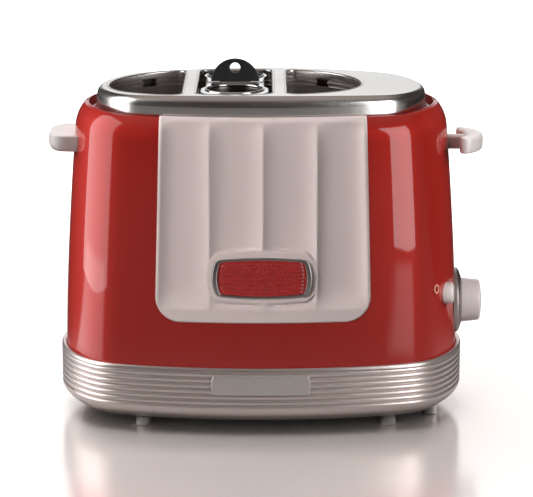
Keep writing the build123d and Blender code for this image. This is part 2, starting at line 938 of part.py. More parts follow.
with BuildPart() as carriage_bracket:
    with BuildSketch(end_plane(carriage_x)):
        with Locations((0, carriage_low)):
            Rectangle(
                2 * (rod_side + bush_radius), carriage_top - carriage_low, align=(Align.CENTER, Align.MIN)
            )
            Rectangle(bar_side + bar_thickness, wing_height, align=(Align.MIN, Align.MIN))
    extrude(amount=carriage_sheet)
    for height in (carriage_low, carriage_top - bush_length):
        with BuildSketch(level(height)):
            for side in (-1, 1):
                with Locations((rod_x, side * rod_side)):
                    Circle(bush_radius)
                    Rectangle(rod_x - carriage_x, 2 * rod_radius, align=(Align.MAX, Align.CENTER))
        extrude(amount=bush_length)
    with BuildSketch(level(carriage_low)):
        with Locations((rod_x, -rod_side), (rod_x, rod_side)):
            Circle(rod_radius + running_gap)
    extrude(amount=carriage_top - carriage_low, mode=Mode.SUBTRACT)
carriage_bracket.part.label = "carriage_bracket"
export_step(carriage_bracket.part, "parts/carriage_bracket.step")

spring_gap = 0.4
spring_wire = 1.4

with BuildPart() as return_spring:
    with BuildSketch(level(plate_top)):
        with Locations((rod_x, -rod_side)):
            Circle(rod_radius + spring_gap + spring_wire)
            Circle(rod_radius + spring_gap, mode=Mode.SUBTRACT)
    extrude(amount=carriage_low - plate_top)
return_spring.part.label = "return_spring"
export_step(return_spring.part, "parts/return_spring.step")

with BuildPart() as lift_bar:
    with BuildSketch(front_plane().offset(-bar_side)):
        with Locations((carriage_x, bar_low)):
            Rectangle(
                carriage_x - well_middle + bun_rack_x + arm_width / 2,
                bar_height,
                align=(Align.MAX, Align.MIN),
            )
    extrude(amount=-bar_thickness)
lift_bar.part.label = "lift_bar"
export_step(lift_bar.part, "parts/lift_bar.step")

# racks: slotted shelves in the wells, each on an arm that passes the back wall to the lift bar

rack_slot_width = 3.0
rack_slot_length = 60.0
rack_slot_pitch = 10.0
rack_slot_count = 3
arm_reach_share = 0.67


def rack(outline, x):
    """A shelf on its arm."""
    with BuildPart() as shelf:
        with BuildSketch(level(rack_height)):
            add(outline)
            with Locations((x, 0)):
                with GridLocations(rack_slot_pitch, 0, rack_slot_count, 1):
                    SlotOverall(rack_slot_length, rack_slot_width, rotation=90, mode=Mode.SUBTRACT)
        extrude(amount=rack_sheet)
        with BuildSketch(level(rack_height)):
            with Locations((x, bar_side)):
                Rectangle(
                    arm_width, bar_side + well_half_depth * arm_reach_share, align=(Align.CENTER, Align.MAX)
                )
        extrude(amount=-arm_height)
    return shelf.part


for side, name in ((-1, "left"), (1, "right")):
    with BuildPart() as bun_rack:
        add(rack(bun_outline(side, liner_step - rack_gap), well_middle + side * bun_rack_x))
    bun_rack.part.label = name + "_bun_rack"
    export_step(bun_rack.part, "parts/" + name + "_bun_rack.step")

with BuildPart() as basket_rest:
    add(rack(window_outline(liner_step - rack_gap), well_middle))
basket_rest.part.label = "basket_rest"
export_step(basket_rest.part, "parts/basket_rest.step")

# lever: a steel strip through the shell's slot, with a moulded finger piece on its end

strip_half = 1.5
strip_half_height = 3.6
grip_inset = 0.6
grip_reach = knob_reach - grip_inset
strip_inset = 7.2
strip_end = grip_reach - strip_inset
grip_width = 8.6
grip_side = 17.0
grip_bow = 7.6
grip_below = 4.8
grip_above = 6.2
grip_low = lever_height - grip_below
grip_high = lever_height + grip_above
grip_round = 2.4
neck_inset = 8.7
neck_start = shell_half_width - neck_inset

with BuildPart() as lever_arm:
    with BuildSketch(front_plane()):
        with Locations((carriage_x + carriage_sheet, lever_height)):
            Rectangle(
                strip_end - carriage_x - carriage_sheet,
                2 * strip_half_height,
                align=(Align.MIN, Align.CENTER),
            )
    extrude(amount=strip_half, both=True)
lever_arm.part.label = "lever_arm"
export_step(lever_arm.part, "parts/lever_arm.step")

with BuildPart() as lever_knob:
    grip_x = grip_reach - grip_width / 2
    bow = ThreePointArc((grip_x - grip_bow, -grip_side), (grip_x, 0), (grip_x - grip_bow, grip_side))
    with BuildSketch(level(grip_low)):
        SlotArc(bow, grip_width)
    extrude(amount=grip_high - grip_low)
    fillet(lever_knob.edges().group_by(Axis.Z)[-1], grip_round)
    fillet(lever_knob.edges().group_by(Axis.Z)[0], grip_round)
    with BuildSketch(front_plane()):
        with Locations((neck_start, lever_height)):
            Rectangle(grip_x - neck_start, 2 * lever_half_height, align=(Align.MIN, Align.CENTER))
    extrude(amount=neck_half_width, both=True)
    with BuildSketch(front_plane()):
        with Locations((neck_start, lever_height)):
            Rectangle(strip_end - neck_start, 2 * strip_half_height, align=(Align.MIN, Align.CENTER))
    extrude(amount=strip_half, both=True, mode=Mode.SUBTRACT)
lever_knob.part.label = "lever_knob"
export_step(lever_knob.part, "parts/lever_knob.step")

# latch: an armature under the carriage meets the electromagnet when the lever is down

magnet_half = 9.0
magnet_reach = 16.0
armature_sheet = 2.0
core_half = 3.0
magnet_base = 3.0
magnet_x = carriage_x + carriage_sheet + magnet_reach / 2
magnet_top = carriage_low - travel - flat_gap

with BuildPart() as armature:
    with BuildSketch(level(carriage_low)):
        with Locations((carriage_x + carriage_sheet, 0)):
            Rectangle(magnet_reach, 2 * magnet_half, align=(Align.MIN, Align.CENTER))
    extrude(amount=armature_sheet)
armature.part.label = "armature"
export_step(armature.part, "parts/armature.step")

with BuildPart() as magnet_core:
    with BuildSketch(level(plate_top)):
        with Locations((magnet_x, 0)):
            Rectangle(magnet_reach, 2 * magnet_half)
    extrude(amount=magnet_base)
    with BuildSketch(level(plate_top)):
        with Locations((magnet_x, 0)):
            Rectangle(2 * core_half, 2 * core_half)
    extrude(amount=magnet_top - plate_top)
magnet_core.part.label = "magnet_core"
export_step(magnet_core.part, "parts/magnet_core.step")

with BuildPart() as magnet_coil:
    with BuildSketch(level(plate_top + magnet_base)) as winding:
        with Locations((magnet_x, 0)):
            RectangleRounded(magnet_reach, 2 * magnet_half, core_half)
            Rectangle(2 * core_half, 2 * core_half, mode=Mode.SUBTRACT)
    extrude(amount=magnet_top - plate_top - 2 * magnet_base)
magnet_coil.part.label = "magnet_coil"
export_step(magnet_coil.part, "parts/magnet_coil.step")

# control board: an upright board in the bottom plate's clips, with the timer and the stop switch

board_margin = 35.4
board_top = dial_height + board_margin
board_face = board_x + board_thickness
pot_radius = 9.0
pot_length = 12.0
shaft_gap = 1.4
shaft_start = board_face + shaft_gap
shaft_cap = 4.8
shaft_end = knob_reach - shaft_cap
switch_half = 6.5
switch_length = 8.4
stem_radius = 3.0
stem_gap = 3.4
stem_start = board_face + stem_gap

with BuildPart() as control_board:
    with BuildSketch(end_plane(board_x)):
        with Locations((0, plate_top)):
            Rectangle(2 * board_half_width, board_top - plate_top, align=(Align.CENTER, Align.MIN))
    extrude(amount=board_thickness)
control_board.part.label = "control_board"
export_step(control_board.part, "parts/control_board.step")

relay_size = (16.0, 13.0, 12.0)
coil_size = (18.0, 20.0, 14.0)
relay_place = (24.0, 38.0)
coil_place = (-20.0, 44.0)
can_places = [(24.0, 62.0), (24.0, 80.0)]
can_radius = 5.0
can_length = 13.0

with BuildPart() as board_parts:
    for place, size in ((relay_place, relay_size), (coil_place, coil_size)):
        with BuildSketch(end_plane(board_face)):
            with Locations(place):
                Rectangle(size[0], size[1])
        extrude(amount=size[2])
    with BuildSketch(end_plane(board_face)):
        with Locations(*can_places):
            Circle(can_radius)
    extrude(amount=can_length)
board_parts.part.label = "board_parts"
export_step(board_parts.part, "parts/board_parts.step")

with BuildPart() as timer_switch:
    with BuildSketch(end_plane(board_face)):
        with Locations((0, dial_height)):
            Circle(pot_radius)
    extrude(amount=pot_length)
    with BuildSketch(end_plane(shaft_start - flat_gap)):
        with Locations((0, dial_height)):
            Circle(shaft_radius + running_gap)
    extrude(amount=pot_length, mode=Mode.SUBTRACT)
timer_switch.part.label = "timer_switch"
export_step(timer_switch.part, "parts/timer_switch.step")

with BuildPart() as stop_switch:
    with BuildSketch(end_plane(board_face)):
        with Locations((button_y, button_height)):
            Rectangle(2 * switch_half, 2 * switch_half)
            Circle(stem_radius + running_gap, mode=Mode.SUBTRACT)
    extrude(amount=switch_length)
stop_switch.part.label = "stop_switch"
export_step(stop_switch.part, "parts/stop_switch.step")

# timer dial: shaft, bright ring and pale knob turn together on the shell's round seat

ring_back = seat_face + flat_gap
ring_thickness = 6.0
ring_front = ring_back + ring_thickness
ring_rim = 3.9
ring_flat = 15.0
knob_radius = 14.4
knob_tip_radius = 13.3
knob_dome = 2.0

with BuildPart() as timer_shaft:
    with BuildSketch(end_plane(shaft_start)):
        with Locations((0, dial_height)):
            Circle(shaft_radius)
    extrude(amount=shaft_end - shaft_start)
timer_shaft.part.label = "timer_shaft"
export_step(timer_shaft.part, "parts/timer_shaft.step")

dial_axis = Axis((body_x, 0, dial_height), (1, 0, 0))

with BuildPart() as knob_ring:
    with BuildSketch(Plane.XZ):
        with BuildLine():
            rim = (body_x + ring_back + ring_rim, dial_height + ring_radius)
            flat = (body_x + ring_front, dial_height + ring_flat)
            Polyline(
                flat,
                (body_x + ring_front, dial_height + shaft_radius),
                (body_x + ring_back, dial_height + shaft_radius),
                (body_x + ring_back, dial_height + ring_radius),
                rim,
            )
            TangentArc(flat, rim, tangent=(0, 1))
        make_face()
    revolve(axis=dial_axis)
knob_ring.part.label = "knob_ring"
export_step(knob_ring.part, "parts/knob_ring.step")

with BuildPart() as timer_knob:
    with BuildSketch(Plane.XZ):
        with BuildLine():
            edge = (body_x + knob_reach - knob_dome, dial_height + knob_tip_radius)
            tip = (body_x + knob_reach, dial_height)
            Polyline(
                edge,
                (body_x + ring_front, dial_height + knob_radius),
                (body_x + ring_front, dial_height + shaft_radius),
                (body_x + shaft_end, dial_height + shaft_radius),
                (body_x + shaft_end, dial_height),
                tip,
            )
            TangentArc(tip, edge, tangent=(0, 1))
        make_face()
    revolve(axis=dial_axis)
timer_knob.part.label = "timer_knob"
export_step(timer_knob.part, "parts/timer_knob.step")

# stop button: a round cap in the shell's hole, on a stem that runs in its switch

button_flange = 1.5
button_flange_radius = 8.6
button_back_inset = 16.2
button_back = shell_half_width - button_back_inset
button_length = 12.3
button_front = button_back + button_length
button_edge = 2.2

with BuildPart() as stop_button:
    with BuildSketch(end_plane(button_back)):
        with Locations((button_y, button_height)):
            Circle(button_radius)
    extrude(amount=button_front - button_back)
    fillet(stop_button.edges().group_by(Axis.X)[-1], button_edge)
    with BuildSketch(end_plane(button_back)):
        with Locations((button_y, button_height)):
            Circle(button_flange_radius)
    extrude(amount=button_flange)
    with BuildSketch(end_plane(stem_start)):
        with Locations((button_y, button_height)):
            Circle(stem_radius)
    extrude(amount=button_back - stem_start)
stop_button.part.label = "stop_button"
export_step(stop_button.part, "parts/stop_button.step")

mark_y = -50.0
mark_rise = 6.0
mark_height = button_height + mark_rise
mark_half_width = 2.4
mark_half_height = 3.0
mark_stroke = 0.8
mark_proud = 0.3

with BuildPart() as stop_mark:
    add(wall_band(mark_height - mark_half_height * 2, mark_height + mark_half_height * 2, mark_proud))
    with BuildSketch(end_plane(0)):
        with Locations((mark_y, mark_height)):
            Ellipse(mark_half_width, mark_half_height)
            Ellipse(mark_half_width - mark_stroke, mark_half_height - mark_stroke, mode=Mode.SUBTRACT)
    extrude(amount=shell_half_width + overrun, mode=Mode.INTERSECT)
    add(body_block, mode=Mode.SUBTRACT)
stop_mark.part.label = "stop_mark"
export_step(stop_mark.part, "parts/stop_mark.step")

# side handle: a fixed pale grip at the other end, flat on top and hollow below, screwed from inside

handle_half_width = 21.0
handle_corner = 14.0
handle_wall = 2.6
handle_bury = 26.3
handle_root = handle_reach - handle_bury
hollow_length = 11.3
handle_solid = handle_reach - hollow_length
handle_edge = 1.6
screw_bite = 5.0


def handle_outline(inset):
    """The grip in plan, rounded at its outer corners."""
    length = handle_reach - inset - handle_root
    with BuildSketch() as outline:
        with Locations((-handle_root, 0)):
            Rectangle(length, 2 * (handle_half_width - inset), align=(Align.MAX, Align.CENTER))
        fillet(outline.vertices().group_by(Axis.X)[0], handle_corner - inset)
    return outline.sketch


with BuildPart() as side_handle:
    with BuildSketch(level(handle_low)):
        add(handle_outline(0))
    extrude(amount=handle_top - handle_low)
    fillet(side_handle.edges().group_by(Axis.Z)[-1], handle_edge)
    with BuildSketch(level(handle_low)):
        add(handle_outline(handle_wall))
        with Locations((-handle_solid, 0)):
            Rectangle(handle_reach, 2 * handle_reach, align=(Align.MAX, Align.CENTER), mode=Mode.INTERSECT)
    extrude(amount=handle_top - handle_low - handle_wall, mode=Mode.SUBTRACT)
    add(body_block, mode=Mode.SUBTRACT)
    with BuildSketch(end_plane(-(shell_half(handle_height)[0] + screw_bite))):
        with Locations((-handle_screw_side, handle_height), (handle_screw_side, handle_height)):
            Circle(screw_radius)
    extrude(amount=screw_bite + overrun, mode=Mode.SUBTRACT)
side_handle.part.label = "side_handle"
export_step(side_handle.part, "parts/side_handle.step")

head_stand = 1.6
head_seat = shell_half(handle_height)[0] - shell_wall - head_stand

with BuildPart() as handle_screws:
    with BuildSketch(end_plane(-(shell_half(handle_height)[0] + screw_bite))):
        with Locations((-handle_screw_side, handle_height), (handle_screw_side, handle_height)):
            Circle(screw_radius)
    extrude(amount=screw_bite + shell_wall + head_stand)
    with BuildSketch(end_plane(-head_seat)):
        with Locations((-handle_screw_side, handle_height), (handle_screw_side, handle_height)):
            Circle(screw_head_radius)
    extrude(amount=screw_head_height)
handle_screws.part.label = "handle_screws"
export_step(handle_screws.part, "parts/handle_screws.step")

# sausage basket: two round wells joined by a flange, with a riveted finger tab between them

basket_top = cover_top - sheet
basket_low = rack_height + rack_sheet
cup_inset = 22.5
cup_side = well_half_depth - cup_inset
cup_radius = 17.5
cup_lip = 2.3
cup_flange = cup_radius + sheet + cup_lip
basket_waist = 15.0
cup_slot_width = 7.0
cup_slot_count = 8
cup_slot_foot = 15.0
cup_slot_head = 16.0
cup_slot_low = rack_height + cup_slot_foot
cup_slot_high = cover_top - cup_slot_head
tab_radius = 15.6
tab_half_thickness = 1.5
tab_hole_radius = 3.8
tab_hole_rise = 9.4
tab_hole_height = basket_top + tab_hole_rise
tab_neck_half = 10.0
tab_neck_length = 11.2
tab_neck_low = basket_top - tab_neck_length
rivet_radius = 1.2
rivet_head_radius = 2.4
rivet_head = 0.8
rivet_side = 6.0
rivet_rise = 4.5
rivet_height = tab_neck_low + rivet_rise
tongue_half = 11.0

with BuildPart() as sausage_basket:
    with BuildSketch(level(basket_top)):
        with Locations((well_middle, -cup_side), (well_middle, cup_side)):
            Circle(cup_flange)
        with Locations((well_middle, 0)):
            Rectangle(2 * basket_waist, 2 * cup_side)
    extrude(amount=-sheet)
    with BuildSketch(level(basket_low)):
        with Locations((well_middle, -cup_side), (well_middle, cup_side)):
            Circle(cup_radius + sheet)
    extrude(amount=basket_top - basket_low)
    with BuildSketch(level(basket_low + sheet)):
        with Locations((well_middle, -cup_side), (well_middle, cup_side)):
            Circle(cup_radius)
    extrude(amount=basket_top - basket_low, mode=Mode.SUBTRACT)
    for side in (-1, 1):
        with BuildSketch(level(cup_slot_low)):
            with Locations((well_middle, side * cup_side)):
                with PolarLocations(cup_radius, cup_slot_count, start_angle=180 / cup_slot_count):
                    Rectangle(4 * sheet, cup_slot_width)
        extrude(amount=cup_slot_high - cup_slot_low, mode=Mode.SUBTRACT)
    with BuildSketch(front_plane().offset(-tab_half_thickness)):
        with Locations((well_middle, tab_neck_low)):
            Rectangle(2 * tongue_half, basket_top - tab_neck_low, align=(Align.CENTER, Align.MIN))
    extrude(amount=-sheet)
    with BuildSketch(level(basket_top)):
        with Locations((well_middle, 0)):
            Rectangle(2 * tab_neck_half, 2 * tab_half_thickness)
    extrude(amount=-sheet, mode=Mode.SUBTRACT)
    with BuildSketch(front_plane()):
        with Locations((well_middle - rivet_side, rivet_height), (well_middle + rivet_side, rivet_height)):
            Circle(rivet_radius)
    extrude(amount=-(tab_half_thickness + sheet), mode=Mode.SUBTRACT)
sausage_basket.part.label = "sausage_basket"
export_step(sausage_basket.part, "parts/sausage_basket.step")

with BuildPart() as basket_tab:
    with BuildSketch(front_plane()):
        with Locations((well_middle, basket_top)):
            Circle(tab_radius)
            Rectangle(2 * tab_radius, tab_radius, align=(Align.CENTER, Align.MIN), mode=Mode.INTERSECT)
            Rectangle(2 * tab_neck_half, basket_top - tab_neck_low, align=(Align.CENTER, Align.MAX))
        with Locations((well_middle, tab_hole_height)):
            Circle(tab_hole_radius, mode=Mode.SUBTRACT)
        with Locations((well_middle - rivet_side, rivet_height), (well_middle + rivet_side, rivet_height)):
            Circle(rivet_radius, mode=Mode.SUBTRACT)
    extrude(amount=tab_half_thickness, both=True)
basket_tab.part.label = "basket_tab"
export_step(basket_tab.part, "parts/basket_tab.step")

with BuildPart() as tab_rivets:
    for side in (-1, 1):
        with BuildSketch(front_plane().offset(tab_half_thickness + rivet_head)):
            with Locations((well_middle + side * rivet_side, rivet_height)):
                Circle(rivet_head_radius)
        extrude(amount=-rivet_head)
        with BuildSketch(front_plane().offset(tab_half_thickness)):
            with Locations((well_middle + side * rivet_side, rivet_height)):
                Circle(rivet_radius)
        extrude(amount=-(2 * tab_half_thickness + sheet))
        with BuildSketch(front_plane().offset(-(tab_half_thickness + sheet))):
            with Locations((well_middle + side * rivet_side, rivet_height)):
                Circle(rivet_head_radius)
        extrude(amount=-rivet_head)
tab_rivets.part.label = "tab_rivets"
export_step(tab_rivets.part, "parts/tab_rivets.step")

# crumb tray: slides out of the other end on the bottom plate, behind its own piece of the skirt

tray_rise = tray_front_top - plate_top - 2 * flat_gap
tray_side_gap = 2.5
tray_side_half = tray_half_width - tray_side_gap
tray_stop_gap = 4.6
tray_end = mechanism_x - tray_stop_gap

with BuildPart() as crumb_tray:
    with BuildSketch(level(plate_top + flat_gap)):
        with Locations((-tray_inner_end, 0)):
            Rectangle(tray_inner_end + tray_end, 2 * tray_side_half, align=(Align.MIN, Align.CENTER))
    extrude(amount=tray_rise)
    with BuildSketch(level(plate_top + flat_gap + sheet)):
        with Locations((-tray_inner_end + sheet, 0)):
            Rectangle(
                tray_inner_end + tray_end - 2 * sheet,
                2 * (tray_side_half - sheet),
                align=(Align.MIN, Align.CENTER),
            )
    extrude(amount=tray_rise, mode=Mode.SUBTRACT)
crumb_tray.part.label = "crumb_tray"
export_step(crumb_tray.part, "parts/crumb_tray.step")

with BuildPart() as tray_front:
    add(base_block)
    with BuildSketch(level(foot_height)):
        with Locations((-tray_inner_end, 0)):
            Rectangle(base_half_width, 2 * tray_half_width, align=(Align.MAX, Align.CENTER))
    extrude(amount=tray_front_top - foot_height, mode=Mode.INTERSECT)
    add(
        stack(
            [
                base_size(foot_height, skirt_low_inset + base_wall - tray_gap),
                base_size(plate_top + flat_gap, skirt_low_inset + base_wall - tray_gap),
            ]
        ),
        mode=Mode.SUBTRACT,
    )
tray_front.part.label = "tray_front"
export_step(tray_front.part, "parts/tray_front.step")
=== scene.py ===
import json
import math
import bmesh
import bpy
import numpy as np
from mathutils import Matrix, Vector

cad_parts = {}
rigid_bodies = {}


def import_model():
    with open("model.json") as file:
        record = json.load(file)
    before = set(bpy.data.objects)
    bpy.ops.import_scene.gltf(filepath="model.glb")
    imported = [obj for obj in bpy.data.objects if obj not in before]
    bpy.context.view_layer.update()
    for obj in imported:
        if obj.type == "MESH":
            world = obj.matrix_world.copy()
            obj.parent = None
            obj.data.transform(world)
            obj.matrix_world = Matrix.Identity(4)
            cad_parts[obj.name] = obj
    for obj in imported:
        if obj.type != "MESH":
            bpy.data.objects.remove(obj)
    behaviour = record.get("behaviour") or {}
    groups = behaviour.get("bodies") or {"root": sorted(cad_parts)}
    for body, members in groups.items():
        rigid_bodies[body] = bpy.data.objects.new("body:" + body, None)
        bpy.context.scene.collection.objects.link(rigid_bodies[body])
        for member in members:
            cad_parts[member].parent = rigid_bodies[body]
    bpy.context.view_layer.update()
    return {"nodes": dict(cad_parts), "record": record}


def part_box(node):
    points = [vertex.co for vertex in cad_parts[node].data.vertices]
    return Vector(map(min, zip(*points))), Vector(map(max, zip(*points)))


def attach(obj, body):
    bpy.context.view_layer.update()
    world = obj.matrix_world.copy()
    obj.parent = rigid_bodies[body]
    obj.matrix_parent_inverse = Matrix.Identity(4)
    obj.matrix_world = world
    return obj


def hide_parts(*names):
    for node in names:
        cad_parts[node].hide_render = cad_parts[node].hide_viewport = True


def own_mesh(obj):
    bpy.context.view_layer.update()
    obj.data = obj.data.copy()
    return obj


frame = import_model()
nodes = frame["nodes"]
slotOf = {part["node"]: part["material_slot"] for part in frame["record"]["subparts"]}
print("frame loaded:", len(nodes), "nodes")

# All sizes are millimetres from the body's own middle, and become metres of the shared frame in the mesh.
mm = 0.001
tiny = 1e-9  # keeps a divisor off zero
middleX = -3.75  # the body stands this far from the frame's middle

body = {
    "shell": (127.3, 79.2),  # half width and half depth at the shell's foot
    "shellLow": 42.0,
    "rollLow": 187.0,
    "rimTop": 201.4,
    "rimTurn": 0.8,  # the roll's share of a quarter turn, as a sine, at which its edge cuts it off
    "rimDip": (1.3, 84.0, 104.0),  # how far the rim hangs lower at the front, and where that fades out
    "taper": (7.6, 5.0),  # how far the wall draws in at the foot of the roll
    "barrel": 1.6,
    "rollRun": 5.1,
    "base": (130.6, 81.5),
    "baseTop": 44.6,
    "footHeight": 8.7,
    "cover": (105.5, 63.5),
    "coverTop": 214.0,
    "crown": 2.2,  # drop of the cover's top at its ends
    "arcs": {"side": 4.5, "end": 1.17, "corner": 0.53, "softening": 5.0},
}
wells = {
    "middle": -16.7,
    "halfDepth": 52.0,
    "windowHalf": 23.5,
    "bunFlat": 33.2,
    "bunReach": 80.7,
    "corner": 6.0,
    "frontCorner": 8.0,
}


def addObject(name, data):
    # a new object of the scene for a mesh, a lamp or a camera
    made = bpy.data.objects.new(name, data)
    bpy.context.scene.collection.objects.link(made)
    return made


# finishes


def setInputs(tree, node, inputs):
    # each input, by its name or number, is set to a value or joined to another node's socket
    for key, value in inputs.items():
        if isinstance(value, bpy.types.NodeSocket):
            tree.links.new(value, node.inputs[key])
        else:
            node.inputs[key].default_value = value
    return node


def addNode(tree, kind, inputs={}, operation=None):
    # a node of one kind with its operation and inputs
    made = tree.nodes.new(kind)
    if operation:
        made.operation = operation
    return setInputs(tree, made, inputs)


def mixColours(tree, share, first, second):
    # first times one less the share plus second times the share, for colours or colour sockets
    made = tree.nodes.new("ShaderNodeMix")
    made.data_type = "RGBA"
    colours = [c if isinstance(c, bpy.types.NodeSocket) else (*c, 1) for c in (first, second)]
    return setInputs(tree, made, {"Factor": share, "A": colours[0], "B": colours[1]}).outputs["Result"]


def ramp(tree, value, low, high, start, end):
    # goes from start to end by a smooth step while the value goes from low to high
    inputs = {"From Min": low, "From Max": high, "To Min": start, "To Max": end, "Value": value}
    made = addNode(tree, "ShaderNodeMapRange", inputs)
    made.interpolation_type = "SMOOTHSTEP"
    return made.outputs["Result"]


def combine(tree, a, b, operation="MULTIPLY"):
    # the product of two numbers or sockets, or what another operation makes of them
    return addNode(tree, "ShaderNodeMath", {0: a, 1: b}, operation).outputs[0]


noise = {"stretch": (1, 1, 1), "broad": 14.0, "fine": 900.0, "detail": 3.0, "share": 0.5, "relief": 0.1,
         "depth": 0.0001, "middle": (0.3, 0.7)}  # what a finish has where it says nothing else


def newFinish(name, shade, low, high, roughness, pattern):
    # colour, roughness and relief follow the mean of a broad and a fine noise on the piece's own coordinates;
    # where a finish asks for it, the colour also carries painted shade from one side to the other
    pattern = {**noise, **pattern}
    made = bpy.data.materials.new(name)
    made.use_nodes = True
    tree = made.node_tree
    place = addNode(tree, "ShaderNodeTexCoord").outputs["Object"]
    turned = addNode(tree, "ShaderNodeMapping", {"Scale": pattern["stretch"], "Vector": place})
    inputs = {"Scale": pattern["broad"], "Detail": noise["detail"], "Vector": place}
    broad = addNode(tree, "ShaderNodeTexNoise", inputs).outputs["Fac"]
    inputs = {"Scale": pattern["fine"], "Detail": pattern["detail"], "Vector": turned.outputs["Vector"]}
    fine = addNode(tree, "ShaderNodeTexNoise", inputs).outputs["Fac"]
    inputs = {"Factor": pattern["share"], "A": broad, "B": fine}
    both = addNode(tree, "ShaderNodeMix", inputs).outputs["Result"]
    tone = both
    if "across" in pattern:  # painted shade and light: the tone goes from darker on one side of the piece to lighter on the other, standing in for light that falls more on one side
        start, end, share = pattern["across"]
        side = addNode(tree, "ShaderNodeSeparateXYZ", {0: place}).outputs["X"]
        paintedSideShade = addNode(tree, "ShaderNodeMapRange", {"From Min": start, "From Max": end, "Value": side})
        inputs = {"Factor": share, "A": paintedSideShade.outputs["Result"], "B": both}
        tone = addNode(tree, "ShaderNodeMix", inputs).outputs["Result"]
    limits = zip(("From Min", "From Max", "To Min", "To Max"), (*pattern["middle"], *roughness))
    rough = addNode(tree, "ShaderNodeMapRange", {**dict(limits), "Value": both})
    relief = addNode(tree, "ShaderNodeBump", {"Strength": pattern["relief"], "Distance": pattern["depth"],
                                              "Height": fine})
    setInputs(tree, tree.nodes["Principled BSDF"], {
        **shade,
        "Base Color": mixColours(tree, tone, low, high),
        "Roughness": rough.outputs["Result"],
        "Normal": relief.outputs["Normal"],
    })
    return made


